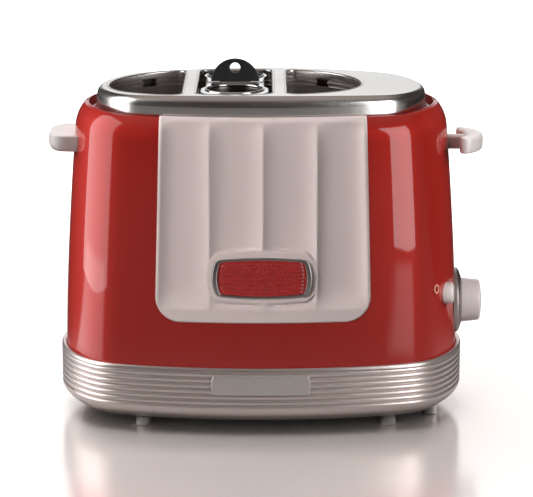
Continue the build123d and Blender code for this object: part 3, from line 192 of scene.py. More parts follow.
finishes = {  # the shade, two colours, two roughnesses, and what differs from the plain noise
    "red_enamel": (
        {"Metallic": 0.35, "Coat Weight": 1.0, "Coat Roughness": 0.03, "IOR": 1.5,
         "Specular Tint": (1.0, 0.15, 0.12, 1)},
        (0.295, 0.013, 0.009), (0.32, 0.015, 0.010), (0.4, 0.44),
        {"fine": 420.0, "relief": 0.008, "broad": 9.0},
    ),
    # pale panel: its across entry paints shade, darker at the panel's left and lighter at its right, copying
    # how light fell on it rather than its own colour
    "pale_panel": (
        {"IOR": 1.46, "Specular IOR Level": 0.3}, (0.59, 0.492, 0.468), (0.68, 0.57, 0.545), (0.5, 0.58),
        {"fine": 1500.0, "relief": 0.05, "broad": 12.0, "across": (-0.07, 0.06, 0.3)},
    ),
    "silver_base": (
        {"Metallic": 0.93, "Coat Weight": 0.15, "Coat Roughness": 0.3},
        (0.66, 0.592, 0.57), (0.775, 0.70, 0.675), (0.28, 0.36),
        {"fine": 2600.0, "relief": 0.1, "depth": 0.00005, "share": 0.75},
    ),
    "silver_plate": (
        {"Metallic": 0.75, "Coat Weight": 0.2, "Coat Roughness": 0.25},
        (0.50, 0.46, 0.44), (0.58, 0.54, 0.52), (0.33, 0.42),
        {"fine": 2600.0, "relief": 0.08, "depth": 0.00005, "share": 0.75},
    ),
    "brushed_cover": (
        {"Metallic": 1.0, "Anisotropic": 0.5}, (0.70, 0.68, 0.66), (0.86, 0.85, 0.83), (0.18, 0.25),
        {"fine": 1100.0, "stretch": (0.03, 1, 1), "detail": 6.0, "relief": 0.12, "depth": 0.00004,
         "share": 0.8},
    ),
    "dark_chrome": (
        {"Metallic": 1.0}, (0.34, 0.325, 0.315), (0.42, 0.40, 0.39), (0.26, 0.36),
        {"fine": 700.0, "relief": 0.02},
    ),
    "bright_chrome": (
        {"Metallic": 1.0}, (0.80, 0.80, 0.80), (0.90, 0.90, 0.90), (0.13, 0.2),
        {"fine": 600.0, "relief": 0.03},
    ),
    "satin_ring": (
        {"Metallic": 1.0}, (0.40, 0.345, 0.335), (0.48, 0.42, 0.41), (0.38, 0.46),
        {"fine": 900.0, "relief": 0.03},
    ),
    # painted shade: the basket's cups get a near-black metal that stands in for the shade inside the deep
    # wells; the basket itself is bright chrome
    "cup_painted_shade": (
        {"Metallic": 1.0}, (0.10, 0.09, 0.085), (0.16, 0.145, 0.14), (0.22, 0.35),
        {"fine": 700.0, "stretch": (1, 1, 0.05), "relief": 0.05},
    ),
    "red_plastic": (
        {"Coat Weight": 0.6, "Coat Roughness": 0.08}, (0.28, 0.012, 0.012), (0.33, 0.016, 0.015), (0.24, 0.3),
        {"fine": 500.0, "relief": 0.008},
    ),
    "white_knob": (
        {"Coat Weight": 0.25, "Coat Roughness": 0.15, "Subsurface Weight": 0.05, "Subsurface Scale": 0.002},
        (0.63, 0.57, 0.55), (0.68, 0.62, 0.60), (0.28, 0.38),
        {"fine": 1200.0, "relief": 0.04},
    ),
    "pale_mark": (
        {}, (0.56, 0.22, 0.17), (0.62, 0.26, 0.2), (0.4, 0.5),
        {"fine": 2000.0},
    ),
    "black_tab": (
        {"IOR": 1.45}, (0.009, 0.009, 0.010), (0.021, 0.020, 0.021), (0.35, 0.5),
        {"fine": 1400.0, "relief": 0.12, "depth": 0.00006},
    ),
    "well_steel": (
        {"Metallic": 1.0, "Anisotropic": 0.3}, (0.56, 0.51, 0.50), (0.68, 0.63, 0.62), (0.3, 0.42),
        {"fine": 900.0, "stretch": (1, 1, 0.05), "relief": 0.1, "depth": 0.00005, "share": 0.7},
    ),
    "plain_steel": (
        {"Metallic": 1.0}, (0.44, 0.44, 0.45), (0.62, 0.62, 0.63), (0.3, 0.45),
        {"fine": 160.0, "broad": 60.0, "relief": 0.08, "share": 0.4},
    ),
    "bright_steel": (
        {"Metallic": 1.0, "Anisotropic": 0.4}, (0.62, 0.62, 0.63), (0.75, 0.75, 0.76), (0.15, 0.25),
        {"fine": 1800.0, "stretch": (0.05, 1, 1), "relief": 0.08, "depth": 0.00004},
    ),
    "spring_steel": (
        {"Metallic": 1.0}, (0.33, 0.33, 0.34), (0.48, 0.48, 0.5), (0.25, 0.38),
        {"fine": 700.0, "relief": 0.08},
    ),
    "mica": (
        {"Coat Weight": 0.2, "Coat Roughness": 0.3}, (0.52, 0.45, 0.32), (0.72, 0.66, 0.52), (0.35, 0.6),
        {"fine": 500.0, "stretch": (1, 0.3, 1), "relief": 0.2, "detail": 8.0, "share": 0.7},
    ),
    "heater_alloy": (
        {"Metallic": 0.8}, (0.20, 0.17, 0.155), (0.36, 0.32, 0.29), (0.45, 0.6),
        {"fine": 1200.0, "relief": 0.15},
    ),
    "black_plastic": (
        {"IOR": 1.45}, (0.022, 0.022, 0.023), (0.045, 0.044, 0.044), (0.45, 0.62),
        {"fine": 1500.0, "relief": 0.25, "depth": 0.00008},
    ),
    "grey_plastic": (
        {}, (0.19, 0.19, 0.195), (0.26, 0.26, 0.265), (0.42, 0.55),
        {"fine": 1300.0, "relief": 0.2, "depth": 0.00006},
    ),
    "board_laminate": (
        {"Coat Weight": 0.3, "Coat Roughness": 0.3}, (0.33, 0.23, 0.10), (0.46, 0.34, 0.17), (0.35, 0.5),
        {"fine": 1600.0, "stretch": (1, 0.2, 1), "relief": 0.15, "share": 0.6},
    ),
    "copper_coil": (
        {"Metallic": 0.9, "Coat Weight": 0.5, "Coat Roughness": 0.2},
        (0.42, 0.19, 0.08), (0.66, 0.34, 0.17), (0.25, 0.35),
        {"fine": 900.0, "stretch": (0.1, 0.1, 1.6), "relief": 0.5, "depth": 0.0002, "share": 0.8},
    ),
    "iron_core": (
        {"Metallic": 1.0}, (0.22, 0.22, 0.225), (0.33, 0.33, 0.34), (0.35, 0.5),
        {"fine": 900.0, "stretch": (0.1, 1, 1), "relief": 0.2, "share": 0.8},
    ),
    "foot_rubber": (
        {"IOR": 1.45}, (0.27, 0.25, 0.235), (0.34, 0.315, 0.30), (0.55, 0.7),
        {"fine": 1600.0, "relief": 0.2, "depth": 0.00006},
    ),
}
finish = {name: newFinish(name, *spec) for name, spec in finishes.items()}
for name, node in nodes.items():
    node.data.materials.clear()
    node.data.materials.append(finish[slotOf[name]])
print("finishes made:", len(finish))


# mesh helpers


weld = {"near": 2e-6, "thin": 1e-7, "crease": 38.0}  # metres, metres and degrees


def makePiece(name, points, faces, bodyName, slot, replaced=(), crease=weld["crease"], look=None):
    # points become metres of the shared frame, doubles at poles and seams are merged, faces turn outwards
    points = np.asarray(points, float).reshape(-1, 3) * mm
    points[:, 0] += middleX * mm
    mesh = bpy.data.meshes.new(name)
    mesh.from_pydata(points.tolist(), [], [list(face) for face in faces])
    work = bmesh.new()
    work.from_mesh(mesh)
    bmesh.ops.remove_doubles(work, verts=work.verts, dist=weld["near"])
    bmesh.ops.dissolve_degenerate(work, edges=work.edges, dist=weld["thin"])
    bmesh.ops.recalc_face_normals(work, faces=work.faces)
    work.to_mesh(mesh)
    work.free()
    piece = addObject(name, mesh)
    mesh.materials.append(finish[look or slot])
    smooth(piece, crease)
    if bodyName:
        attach(piece, bodyName)
    if replaced:
        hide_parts(*replaced)
    return piece


def smooth(piece, crease):
    # smooth faces, with a hard edge where two of them meet at more than the crease
    piece.data.shade_smooth()
    piece.data.set_sharp_from_angle(angle=math.radians(crease))


def gridFaces(rows, cols, wrapRows=False, wrapCols=True, start=0):
    # the quads between neighbours of a rows by cols grid, wrapping round where it closes
    spans = np.arange(rows if wrapRows else rows - 1), np.arange(cols if wrapCols else cols - 1)
    r, c = np.meshgrid(*spans, indexing="ij")
    nextRow, nextCol = (r + 1) % rows, (c + 1) % cols
    quads = np.stack([r * cols + c, r * cols + nextCol, nextRow * cols + nextCol, nextRow * cols + c], -1)
    return quads.reshape(-1, 4) + start


def closedSheet(front, back):
    # two grids of the same size, joined round their border into one closed skin
    rows, cols = front.shape[:2]
    count = rows * cols
    index = np.arange(count).reshape(rows, cols)
    border = np.concatenate([index[0, :-1], index[:-1, -1], index[-1, :0:-1], index[:0:-1, 0]])
    after = np.roll(border, -1)
    faces = np.concatenate([
        gridFaces(rows, cols, wrapCols=False),
        gridFaces(rows, cols, wrapCols=False, start=count)[:, ::-1],
        np.stack([border, after, after + count, border + count], -1),
    ])
    return np.concatenate([front.reshape(-1, 3), back.reshape(-1, 3)]), faces


def carve(piece, cutter, operation="DIFFERENCE", crease=weld["crease"]):
    # one exact boolean, baked into the piece; the cutter goes
    change = piece.modifiers.new("carve", "BOOLEAN")
    change.operation, change.solver, change.object = operation, "EXACT", cutter
    seen = piece.evaluated_get(bpy.context.evaluated_depsgraph_get())
    carved = bpy.data.meshes.new_from_object(seen)
    piece.modifiers.clear()
    piece.data = carved
    while len(carved.materials) > 1:
        carved.materials.pop()
    index = np.zeros(len(carved.polygons), np.int32)
    carved.polygons.foreach_set("material_index", index)
    bpy.data.objects.remove(cutter)
    smooth(piece, crease)
    return piece


def lathe(profile, centre, axis="x", count=96, turn=(0.0, 360.0)):
    # profile rows of distance along the axis and radius, turned about a line through centre
    along, radius = np.array(profile, float).T
    angle = np.radians(np.linspace(*turn, count, endpoint=False))
    a = np.broadcast_to(along[:, None], (len(along), count))
    u, v = radius[:, None] * np.cos(angle), radius[:, None] * np.sin(angle)
    order = {"x": (a, u, v), "y": (u, a, v), "z": (u, v, a)}[axis]
    return np.stack(order, -1) + np.array(centre, float), gridFaces(len(along), count)


def lathesAt(profile, places, count):
    # the same profile turned upright at several places, as one mesh
    skins = [lathe(profile, (x, y, 0), "z", count) for x, y in places]
    size = skins[0][0].size // 3
    return np.stack([points for points, faces in skins]), np.concatenate([
        faces + k * size for k, (points, faces) in enumerate(skins)])


def thicken(piece, sheet, offset):
    # gives a skin its sheet's thickness, to one side of it or to both
    wall = piece.modifiers.new("sheet", "SOLIDIFY")
    wall.thickness, wall.offset = sheet * mm, offset
    return piece


def arcPoints(centreA, centreB, radiusA, radiusB, start, end, count):
    # points on an ellipse's arc between two angles in degrees
    angle = np.radians(np.linspace(start, end, count))
    return np.stack([centreA + radiusA * np.cos(angle), centreB + radiusB * np.sin(angle)], -1)


def loopOf(segments, step=3.0):
    # arcs given by centre, radius and the angles of their outward normals, joined by divided straight lines
    places, normals = [], []
    for x, y, radius, start, end, count in segments:
        angle = np.radians(np.linspace(start, end, count))
        unit = np.stack([np.cos(angle), np.sin(angle)], -1)
        places.append(np.array([x, y]) + radius * unit)
        normals.append(unit)
    points, outward = [], []
    for k, (place, normal) in enumerate(zip(places, normals)):
        points.append(place)
        outward.append(normal)
        reach = places[(k + 1) % len(places)][0] - place[-1]
        parts = int(np.hypot(*reach) / step)
        if parts > 1:
            share = (np.arange(1, parts) / parts)[:, None]
            points.append(place[-1] + share * reach)
            outward.append(np.repeat(normal[-1:], parts - 1, 0))
    return np.concatenate(points), np.concatenate(outward)


def sweepLoop(points, outward, profile, lift=0.0):
    # a closed profile of outward distance and height carried round a closed loop
    profile = np.array(profile, float)
    flat = points[:, None] + outward[:, None] * profile[None, :, :1]
    up = np.broadcast_to(profile[None, :, 1], flat.shape[:2])
    up = up + (lift(flat[..., 0]) if callable(lift) else lift)
    return np.concatenate([flat, up[..., None]], -1), gridFaces(len(points), len(profile), wrapRows=True)


def box(name, low, high):
    # a cutter's box between two corners
    x, y, z = zip(low, high)
    points = [(x[i], y[j], z[k]) for i in (0, 1) for j in (0, 1) for k in (0, 1)]
    faces = [(0, 1, 3, 2), (4, 6, 7, 5), (0, 4, 5, 1), (2, 3, 7, 6), (0, 2, 6, 4), (1, 5, 7, 3)]
    return makePiece(name, points, faces, None, "plain_steel")


def drum(name, radius, centre, near, far, axis="x"):
    # a cutter's cylinder from near to far along its axis
    points, faces = lathe([(near, 0), (near, radius), (far, radius), (far, 0)], centre, axis, 96)
    return makePiece(name, points, faces, None, "plain_steel")


# the body's outline in plan


def arcOutline(width, depth, angle):
    # the point whose outward normal stands at an angle: the centre of its arc plus radius times the normal;
    # each quarter has an end arc, a corner arc and a side arc, tangent to each other
    side, end, corner = (body["arcs"][name] * depth for name in ("side", "end", "corner"))
    reach, drop = width - end, side - depth
    gap = np.hypot(reach, drop)
    along = ((side - corner) ** 2 - (end - corner) ** 2 + gap**2) / (2 * gap)
    across = np.sqrt((side - corner) ** 2 - along**2)
    cornerX = (reach * along + drop * across) / gap
    cornerY = (drop * along - reach * across) / gap - drop
    turn = np.arctan2(np.abs(np.sin(angle)), np.abs(np.cos(angle)))
    first, second = np.arctan2(cornerY, cornerX - reach), np.arctan2(cornerY + drop, cornerX)
    pick = [turn < first, turn < second]
    x = np.select(pick, [reach + end * np.cos(turn), cornerX + corner * np.cos(turn)], side * np.cos(turn))
    y = np.select(pick, [end * np.sin(turn), cornerY + corner * np.sin(turn)], side * np.sin(turn) - drop)
    return x * np.sign(np.cos(angle)), y * np.sign(np.sin(angle))


def outline(width, depth, angle):
    # the mean of copies turned back by small angles, so that the curvature changes without a jump
    shifts = np.radians(np.linspace(-1, 1, 9) * body["arcs"]["softening"])
    turned = []
    for shift in shifts:
        x, y = arcOutline(width, depth, angle + shift)
        turned.append((x * np.cos(shift) + y * np.sin(shift), y * np.cos(shift) - x * np.sin(shift)))
    x, y = np.mean(turned, 0)
    return np.stack([x, y], -1)


def wallAngles(end=16, corner=24, side=40):
    # angles of the outward normal, closest where the outline turns fastest
    near, far = 33, 76  # degrees between which the corner's arc turns
    quarter = np.concatenate([np.linspace(0, near, end, endpoint=False),
                              np.linspace(near, far, corner, endpoint=False), np.linspace(far, 90, side + 1)])
    parts = [quarter[:-1], (180 - quarter[::-1])[:-1], (180 + quarter)[:-1], (360 - quarter[::-1])[:-1]]
    return np.radians(np.concatenate(parts))


def rings(levels, angle):
    # one ring of the outline for each row of height, half width and half depth
    height, width, depth = (column[:, None] for column in np.array(levels, float).T)
    flat = outline(width, depth, angle[None])
    return np.concatenate([flat, np.broadcast_to(height[..., None], flat.shape[:2] + (1,))], -1)


def shellHalf(height, inset=0.0):
    # half sizes of the shell: they fall with a power of the height's share, and a quarter roll closes the rim
    share = (height - body["shellLow"]) / (body["rollLow"] - body["shellLow"])
    turn = np.clip((height - body["rollLow"]) / (body["rimTop"] - body["rollLow"]), 0, 1)
    end = body["rimTurn"]
    roll = body["rollRun"] * (1 - np.sqrt(1 - (end * turn) ** 2)) / (1 - math.sqrt(1 - end**2)) + inset
    fall = np.clip(share, 0, 2) ** body["barrel"]
    return tuple(size - taper * fall - roll for size, taper in zip(body["shell"], body["taper"]))


def frontAt(x, depth):
    # the side arc, as a distance in front of the middle, for a half depth
    side = body["arcs"]["side"] * depth
    return -(np.sqrt(side**2 - x**2) - (side - depth))


# the front panel's place, which the shell's bed needs too
panel = {
    "shift": 1.3,
    "halfLow": 67.8,
    "halfTop": 63.8,
    "lineTop": 222.4,
    "low": 73.4,
    "corner": 16.0,
    "proud": 1.4,
    "edge": 1.2,
    "sunk": 2.6,
    "pitch": 33.5,
    "sideRim": 1.9,
    "flute": 3.5,
    "fluteEdge": 2.9,  # the power that steepens a flute toward its ridges
    "fluteFoot": (98.0, 82.0),
    "fluteHead": (187.0, 199.5),
    "headRise": 0.9,  # the top edge climbs this far behind its front, up to the shell's lip
    "badge": (0.7, 102.3, 31.6, 13.0, 1.6, 2.4, 3.0),  # middle x and z, half sizes, bow, corner, ends' bow
    "padMargin": 3.5,
    "padArch": 1.2,
    "padSlope": (-0.5, 0.7),  # the flutes fade in between these distances from the pad
    "edgeRows": 7,
    "footRows": (4.0, 22),  # the root of the height over which rows widen, and their count
    "rows": 150,
    "rollRows": 22,
    "columns": 190,
    "back": (1.5, 0.8, 0.35, 0.0),  # past the rim: how far back, and the distances left to the edge
    "plenty": 9.0,  # a distance to the edge that rounds nothing
}


def ease(value, low, high):
    # three squares less two cubes of the share between low and high
    share = np.clip((value - low) / (high - low), 0, 1)
    return share * share * (3 - 2 * share)


def rimDip(x, height):
    # how far a point near the rim lies lower along the front and the back than at the ends
    dip, near, far = body["rimDip"]
    share = np.clip((height - body["rollLow"]) / (body["rimTop"] - body["rollLow"]), 0, 1) ** 1.5
    return dip * (1 - ease(np.abs(x), near, far)) * share


def panelHalf(height):
    # the half width falls evenly from the panel's foot to its top
    share = (height - panel["low"]) / (panel["lineTop"] - panel["low"])
    return panel["halfLow"] + (panel["halfTop"] - panel["halfLow"]) * share


def panelWidthAt(height):
    # the straight edge, drawn in by the corner's circle near the foot
    below = np.clip(panel["corner"] - (height - panel["low"]), 0, panel["corner"])
    return panelHalf(height) - panel["corner"] + np.sqrt(panel["corner"] ** 2 - below**2)


def panelEdge(x, height):
    # distance in from the panel's edge
    side = panelHalf(height) - np.abs(x)
    foot = height - panel["low"]
    radius = panel["corner"]
    a, b = radius - side, radius - foot
    rounded = radius - np.hypot(np.maximum(a, 0), np.maximum(b, 0))
    return np.where((a > 0) & (b > 0), rounded, np.minimum(side, foot))


around = wallAngles()

# shell

shell = {
    "wall": 2.2,
    "footRound": 0.5,
    "wallRows": 60,
    "rollRows": 14,
    "lip": (  # outward from the cover's half sizes, then the height
        (5.8, 3.6, 202.3), (5.45, 3.25, 202.3), (5.2, 3.0, 202.0), (5.1, 2.9, 201.5), (3.3, 2.1, 197.4),
        (2.7, 1.7, 197.0), (-2.6, -2.6, 197.0), (-3.0, -3.0, 196.6), (-3.0, -3.0, 195.3), (-2.7, -2.7, 195.0),
        (6.0, 5.2, 195.0),
    ),
    "slot": (5.6, 114.3, 180.3),  # half width, foot and top of the lever's slot
    "dialHeight": 69.6,
    "pocket": (21.7, 124.0),  # radius, and the distance from the middle where it starts
    "seat": (22.3, 121.4),
    "shaftHole": 3.3,
    "button": (-35.0, 82.6, 7.3),  # y, height and radius of its hole
    "near": 110,  # inside the shell's wall, where a hole's cutter starts
    "bed": (2.9, 1.5, 4.5),  # the bed's depth under the panel, and where its slope starts and ends
    "bedTop": 0.5,  # the bed ends this far below the rim's top
    "innerTop": 4.0,  # the inner wall ends this far below the roll
    "innerRows": 12,
    "far": 140,  # past the shell's side
    "crease": 18,
}


def shellRows():
    # rows of height, half width and half depth: up the wall, over the roll and the lip, down inside
    low, roll, top = body["shellLow"], body["rollLow"], body["rimTop"]
    wall = np.linspace(low + shell["footRound"], roll, shell["wallRows"])
    height = np.concatenate([wall, np.linspace(roll, top, shell["rollRows"])[1:]])
    outer = np.stack([height, *shellHalf(height)], -1)
    lip = np.array(shell["lip"])
    lip = np.stack([lip[:, 2], body["cover"][0] + lip[:, 0], body["cover"][1] + lip[:, 1]], -1)
    height = np.linspace(roll - shell["innerTop"], low, shell["innerRows"])
    inner = np.stack([height, *shellHalf(height, shell["wall"])], -1)
    foot = np.array([[low, *shellHalf(low, shell["footRound"])]])
    return np.concatenate([outer, lip, inner, foot])


def sinkBed(points):
    # the shell lies deeper under the panel, by an eased slope inside its edge, so that the flutes clear it
    depth, start, end = shell["bed"]
    x, y, z = np.moveaxis(points, -1, 0)
    inside = np.where((y < 0) & (z < body["rimTop"] - shell["bedTop"]), panelEdge(x - panel["shift"], z), 0)
    return points + np.stack([0 * x, depth * ease(inside, start, end), 0 * x], -1)


outerRows = shell["wallRows"] + shell["rollRows"] - 1
rows = rings(shellRows(), around)
rows[..., 2] -= rimDip(rows[..., 0], rows[..., 2])
rows[:outerRows] = sinkBed(rows[:outerRows])
rows[outerRows + len(shell["lip"]):] = sinkBed(rows[outerRows + len(shell["lip"]):])
outerShell = makePiece("shell_skin", rows, gridFaces(len(rows), len(around), wrapRows=True), "housing",
                       "red_enamel", ("outer_shell",), crease=shell["crease"])
dialPlace, far = (0, 0, shell["dialHeight"]), shell["far"]
seatDisc = drum("seatDisc", shell["seat"][0], dialPlace, shell["seat"][1], shell["pocket"][1])
carve(outerShell, seatDisc, "UNION", shell["crease"])
halfSlot, slotLow, slotHigh = shell["slot"]
cuts = (
    drum("pocket", shell["pocket"][0], dialPlace, shell["pocket"][1], far),
    drum("shaftHole", shell["shaftHole"], dialPlace, shell["near"], far),
    drum("buttonHole", shell["button"][2], (0, *shell["button"][:2]), shell["near"], far),
    box("leverSlot", (100, -halfSlot, slotLow), (far, halfSlot, slotHigh)),
)
for cut in cuts:
    carve(outerShell, cut, crease=shell["crease"])
print("shell made:", len(outerShell.data.polygons), "faces")

# base

base = {
    "wall": 3.0,
    "ribs": 7,
    "topRib": 2.4,
    "pitch": 3.63,
    "depth": 1.1,
    "power": 3.0,
    "rowsPerRib": 10,
    "skirtInset": 9.5,
    "skirtTop": 19.1,
    "skirtPower": 2.05,
    "mouth": 0.3,  # round the foot of the shell
    "seat": (42.0, 40.0),
    "tray": (-100.0, 43.0, 19.78),  # inner end, half width and top
    "trayGap": 0.4,
    "gland": (62.0, 27.0, 7.3),  # x, height and radius
    "footEdge": 0.35,
    "blend": 1.6,  # the rows lie closer over this height under the lowest rib
    "lip": ((0.12, 0.75), (0.0, 1.15)),  # down from the top, in from the side
    "capEdge": 0.5,
    "mouthEdge": 0.3,
    "innerKnee": (13.0, 3.2),
    "outside": 140,  # where a cutter starts beyond the left end
    "under": 5,
    "glandCut": (60, 90),
    "crease": 45,
}
base["lowest"] = body["baseTop"] - base["topRib"] - (base["ribs"] - 1) * base["pitch"]  # the lowest groove


def baseInset(height):
    # each rib bulges between its grooves, and the skirt below draws in with a power of its depth
    depth = body["baseTop"] - base["topRib"] - height
    share = np.where(depth < 0, 0.5 + 0.5 * (-depth / base["topRib"]), np.mod(depth / base["pitch"], 1.0))
    rib = base["depth"] * np.abs(2 * share - 1) ** base["power"]
    below = np.clip((base["skirtTop"] - height) / (base["skirtTop"] - body["footHeight"]), 0, 1)
    groove = np.clip(1 - 2 * (base["lowest"] - height) / base["pitch"], 0, 1) ** base["power"]
    skirt = base["skirtInset"] * below ** base["skirtPower"] + base["depth"] * groove
    return np.where(height > base["lowest"], rib, skirt)


def baseRows():
    # rows of height, half width and half depth: up the skirt and the ribs, over the top, down inside
    low, top, lowest = body["footHeight"], body["baseTop"], base["lowest"]
    edge, blend, ribTop = base["footEdge"], base["blend"], top - base["topRib"]
    height = np.concatenate([
        low + edge + np.linspace(0, 1, 14)[:-1] ** 1.3 * (lowest - blend - low - edge),
        np.linspace(lowest - blend, lowest, 7)[:-1],
        np.linspace(lowest, ribTop, (base["ribs"] - 1) * base["rowsPerRib"] + 1),
        np.linspace(ribTop, top - base["capEdge"], 6)[1:],
    ])
    whole, mouth = np.array(body["base"]), np.array(body["shell"]) + base["mouth"]
    outer = np.column_stack([height, *(size - baseInset(height) for size in whole)])
    seatHigh, seatLow = base["seat"]
    wall, skirt = base["wall"], base["skirtInset"]
    seat, soft = np.array(body["shell"]) - wall, base["mouthEdge"]
    knee, kneeInset = base["innerKnee"]
    inside = [(top - down, whole - inset) for down, inset in base["lip"]]
    inside += [(top, mouth + soft), (top - soft, mouth), (seatHigh, mouth), (seatHigh, seat)]
    inside += [(seatLow, seat), (seatLow, whole - wall), (base["skirtTop"], whole - wall)]
    inside += [(knee, whole - wall - kneeInset)]
    inside += [(low, whole - wall - skirt), (low, whole - skirt - edge)]
    return np.concatenate([outer, [(z, *size) for z, size in inside]])


rows = rings(baseRows(), around)
ringFaces = gridFaces(len(rows), len(around), wrapRows=True)
crease = base["crease"]
baseSkirt = makePiece("base_ribs", rows, ringFaces, "housing", "silver_base", ("base_skirt",), crease=crease)
trayFront = makePiece("tray_face", rows, ringFaces, "tray", "silver_base", ("tray_front",), crease=crease)
innerEnd, halfTray, trayTop = base["tray"]
gap = base["trayGap"]
start, foot = -base["outside"], base["under"]
trayCut = box("trayGapCut", (start, -halfTray - gap, foot), (innerEnd, halfTray + gap, trayTop + gap))
carve(baseSkirt, trayCut, crease=crease)
trayKeep = box("trayKeep", (start, -halfTray, foot), (innerEnd, halfTray, trayTop))
carve(trayFront, trayKeep, "INTERSECT", crease)
glandX, glandHeight, glandRadius = base["gland"]
glandHole = drum("glandHole", glandRadius, (glandX, 0, glandHeight), *base["glandCut"], "y")
carve(baseSkirt, glandHole, crease=crease)
print("base made:", len(baseSkirt.data.polygons), "faces")

posts = {
    "places": ((-88, 48), (-88, -48), (94, 48), (94, -48)),
    "radius": 4.0,
    "hole": 1.5,
    "holeDepth": 14.0,
    "edge": 0.3,
    "low": 11.7,
    "high": 40.0,
}
low, high, radius, hole = (posts[name] for name in ("low", "high", "radius", "hole"))
holeFoot = high - posts["holeDepth"]
profile = [(low, hole), (low, radius - posts["edge"]), (low + posts["edge"], radius), (high, radius),
           (high, 0), (holeFoot, 0), (holeFoot, hole), (low, hole)]
makePiece("base_posts", *lathesAt(profile, posts["places"], 40), "housing", "silver_base")

# front panel


def badgeDistance(x, z, margin, arch=0.0):
    # signed distance to the bowed rounded rectangle of the badge, grown by a margin
    middle, height, halfWidth, halfHeight, bow, corner, ends = panel["badge"]
    x, z = x - middle, z - height
    wide = halfWidth + margin - ends * np.clip(z / halfHeight, -1, 1) ** 2
    high = halfHeight + margin - bow * np.clip(x / halfWidth, -1, 1) ** 2
    high = high + arch * (z > 0) * (1 - (x / halfWidth) ** 2)
    radius = corner + margin
    a, b = np.abs(x) - wide + radius, np.abs(z) - high + radius
    return np.hypot(np.maximum(a, 0), np.maximum(b, 0)) + np.minimum(np.maximum(a, b), 0) - radius


def panelProud(x, height, past):
    # thickness over the shell: a rounded edge less the flutes, scooped at both ends, which spare the pad
    edge = np.clip(np.minimum(panelEdge(x, height), past), 0, panel["edge"])
    full = panel["proud"] - panel["edge"] + np.sqrt(panel["edge"] ** 2 - (panel["edge"] - edge) ** 2)
    across, pitch = np.abs(x), panel["pitch"]
    outer = panelHalf(height) - panel["sideRim"] - pitch
    share = 2 * np.where(across < pitch, across / pitch, np.clip((across - pitch) / outer, 0, 1)) - 1
    footHigh, footLow = panel["fluteFoot"]
    headLow, headHigh = panel["fluteHead"]
    foot = np.clip((footHigh - height) / (footHigh - footLow), 0, 1)
    head = np.clip((height - headLow) / (headHigh - headLow), 0, 1)
    scoop = panel["flute"] * (1 - np.abs(share) ** panel["fluteEdge"]) * (1 - foot**2) * (1 - head**3)
    past = badgeDistance(x + panel["shift"], height, panel["padMargin"], panel["padArch"])
    return full - scoop * ease(past, *panel["padSlope"])


def panelGrid():
    # rows climb from the foot to the rim and over it, columns lie closer in the rounded edge; two skins
    edge, count = panel["edge"], panel["edgeRows"]
    rim = edge * (1 - np.cos(np.radians(np.linspace(0, 90, count))))
    low, roll, top = panel["low"], body["rollLow"], body["rimTop"]
    root, footRows = panel["footRows"]
    backward, *left = panel["back"]
    up = np.linspace(0, 1, len(left) + 1)[1:]
    height = np.concatenate([
        low + rim[:-1],
        low + np.linspace(edge**0.5, root, footRows)[:-1] ** 2,
        np.linspace(low + panel["corner"], roll, panel["rows"]),
        np.linspace(roll, top, panel["rollRows"])[1:],
    ])
    over = np.concatenate([np.zeros(len(height)), up])
    height = np.concatenate([height, top + panel["headRise"] * up])
    depth = shellHalf(height)[1] - over * backward
    run, rise = np.gradient(depth), np.gradient(height)
    size = np.hypot(run, rise)
    outY, outZ = rise / size, -run / size
    outY[-len(left):], outZ[-len(left):] = 0.0, 1.0
    past = np.full(len(height), panel["plenty"])
    past[-len(left):] = left
    half = panelWidthAt(height)
    inside = np.linspace(-1, 1, panel["columns"])
    across = np.concatenate([np.full(count - 1, -1.0), inside, np.full(count - 1, 1.0)])
    inward = np.concatenate([rim[:-1], np.full(len(inside), edge), rim[:-1][::-1]])
    x = across[None] * np.maximum(half[:, None] - inward[None], 0)
    proud = panelProud(x, height[:, None], past[:, None])
    skins = []
    for stand in (proud, np.full_like(x, -panel["sunk"])):
        y = frontAt(x + panel["shift"], depth[:, None] + outY[:, None] * stand)
        z = height[:, None] + outZ[:, None] * stand
        skins.append(np.stack([x + panel["shift"], y, z - rimDip(x, z)], -1))
    return skins


makePiece("panel_face", *closedSheet(*panelGrid()), "housing", "pale_panel", ("front_panel",), crease=60)
print("panel made")


def panelPoint(x, z, stand):
    # a point in front of the flat part of the panel
    return np.stack([x, frontAt(x, shellHalf(z)[1] + panel["proud"] + stand), z], -1)


# badge

badge = {
    "inner": (27.7, 11.3, 1.3, 1.6, 1.7),  # half sizes of the opening, its bow, its corner, its ends' bow
    "height": 2.3,
    "lip": 1.5,
    "sunk": 0.6,
    "fall": 0.5,  # how much lower the frame is above and below than at its ends' middle
    "insert": 1.0,
    "groove": 0.6,
    "grooves": 9,
    "ribEnd": 0.93,
    "crownPower": 5,
    "crownRows": 15,
    "back": 0.5,  # how far the insert reaches into the panel
}


def badgeLoop(halfWidth, halfHeight, bow, corner, ends, count=360):
    # a rounded rectangle with evenly spaced points, whose long sides bow outward at the middle
    spots = ((1, 1, 0), (-1, 1, 90), (-1, -1, 180), (1, -1, 270))
    wide, high = halfWidth - corner, halfHeight - corner
    arcs = [(sx * wide, sz * high, corner, turn, turn + 90, 20) for sx, sz, turn in spots]
    points = loopOf(arcs, 0.4)[0]
    closed = np.concatenate([points, points[:1]])
    steps = np.concatenate([[0], np.cumsum(np.hypot(*np.diff(closed, axis=0).T))])
    even = np.linspace(0, steps[-1], count, endpoint=False)
    x, z = np.interp(even, steps, closed[:, 0]), np.interp(even, steps, closed[:, 1])
    return bowed(x, z, halfWidth, halfHeight, bow, ends)


def bowed(x, z, halfWidth, halfHeight, bow, ends):
    # the long sides fall toward the ends, and the ends draw in toward the corners
    narrow, low = ends / halfWidth * (z / halfHeight) ** 2, bow / halfHeight * (x / halfWidth) ** 2
    return x * (1 - narrow), z * (1 - low)


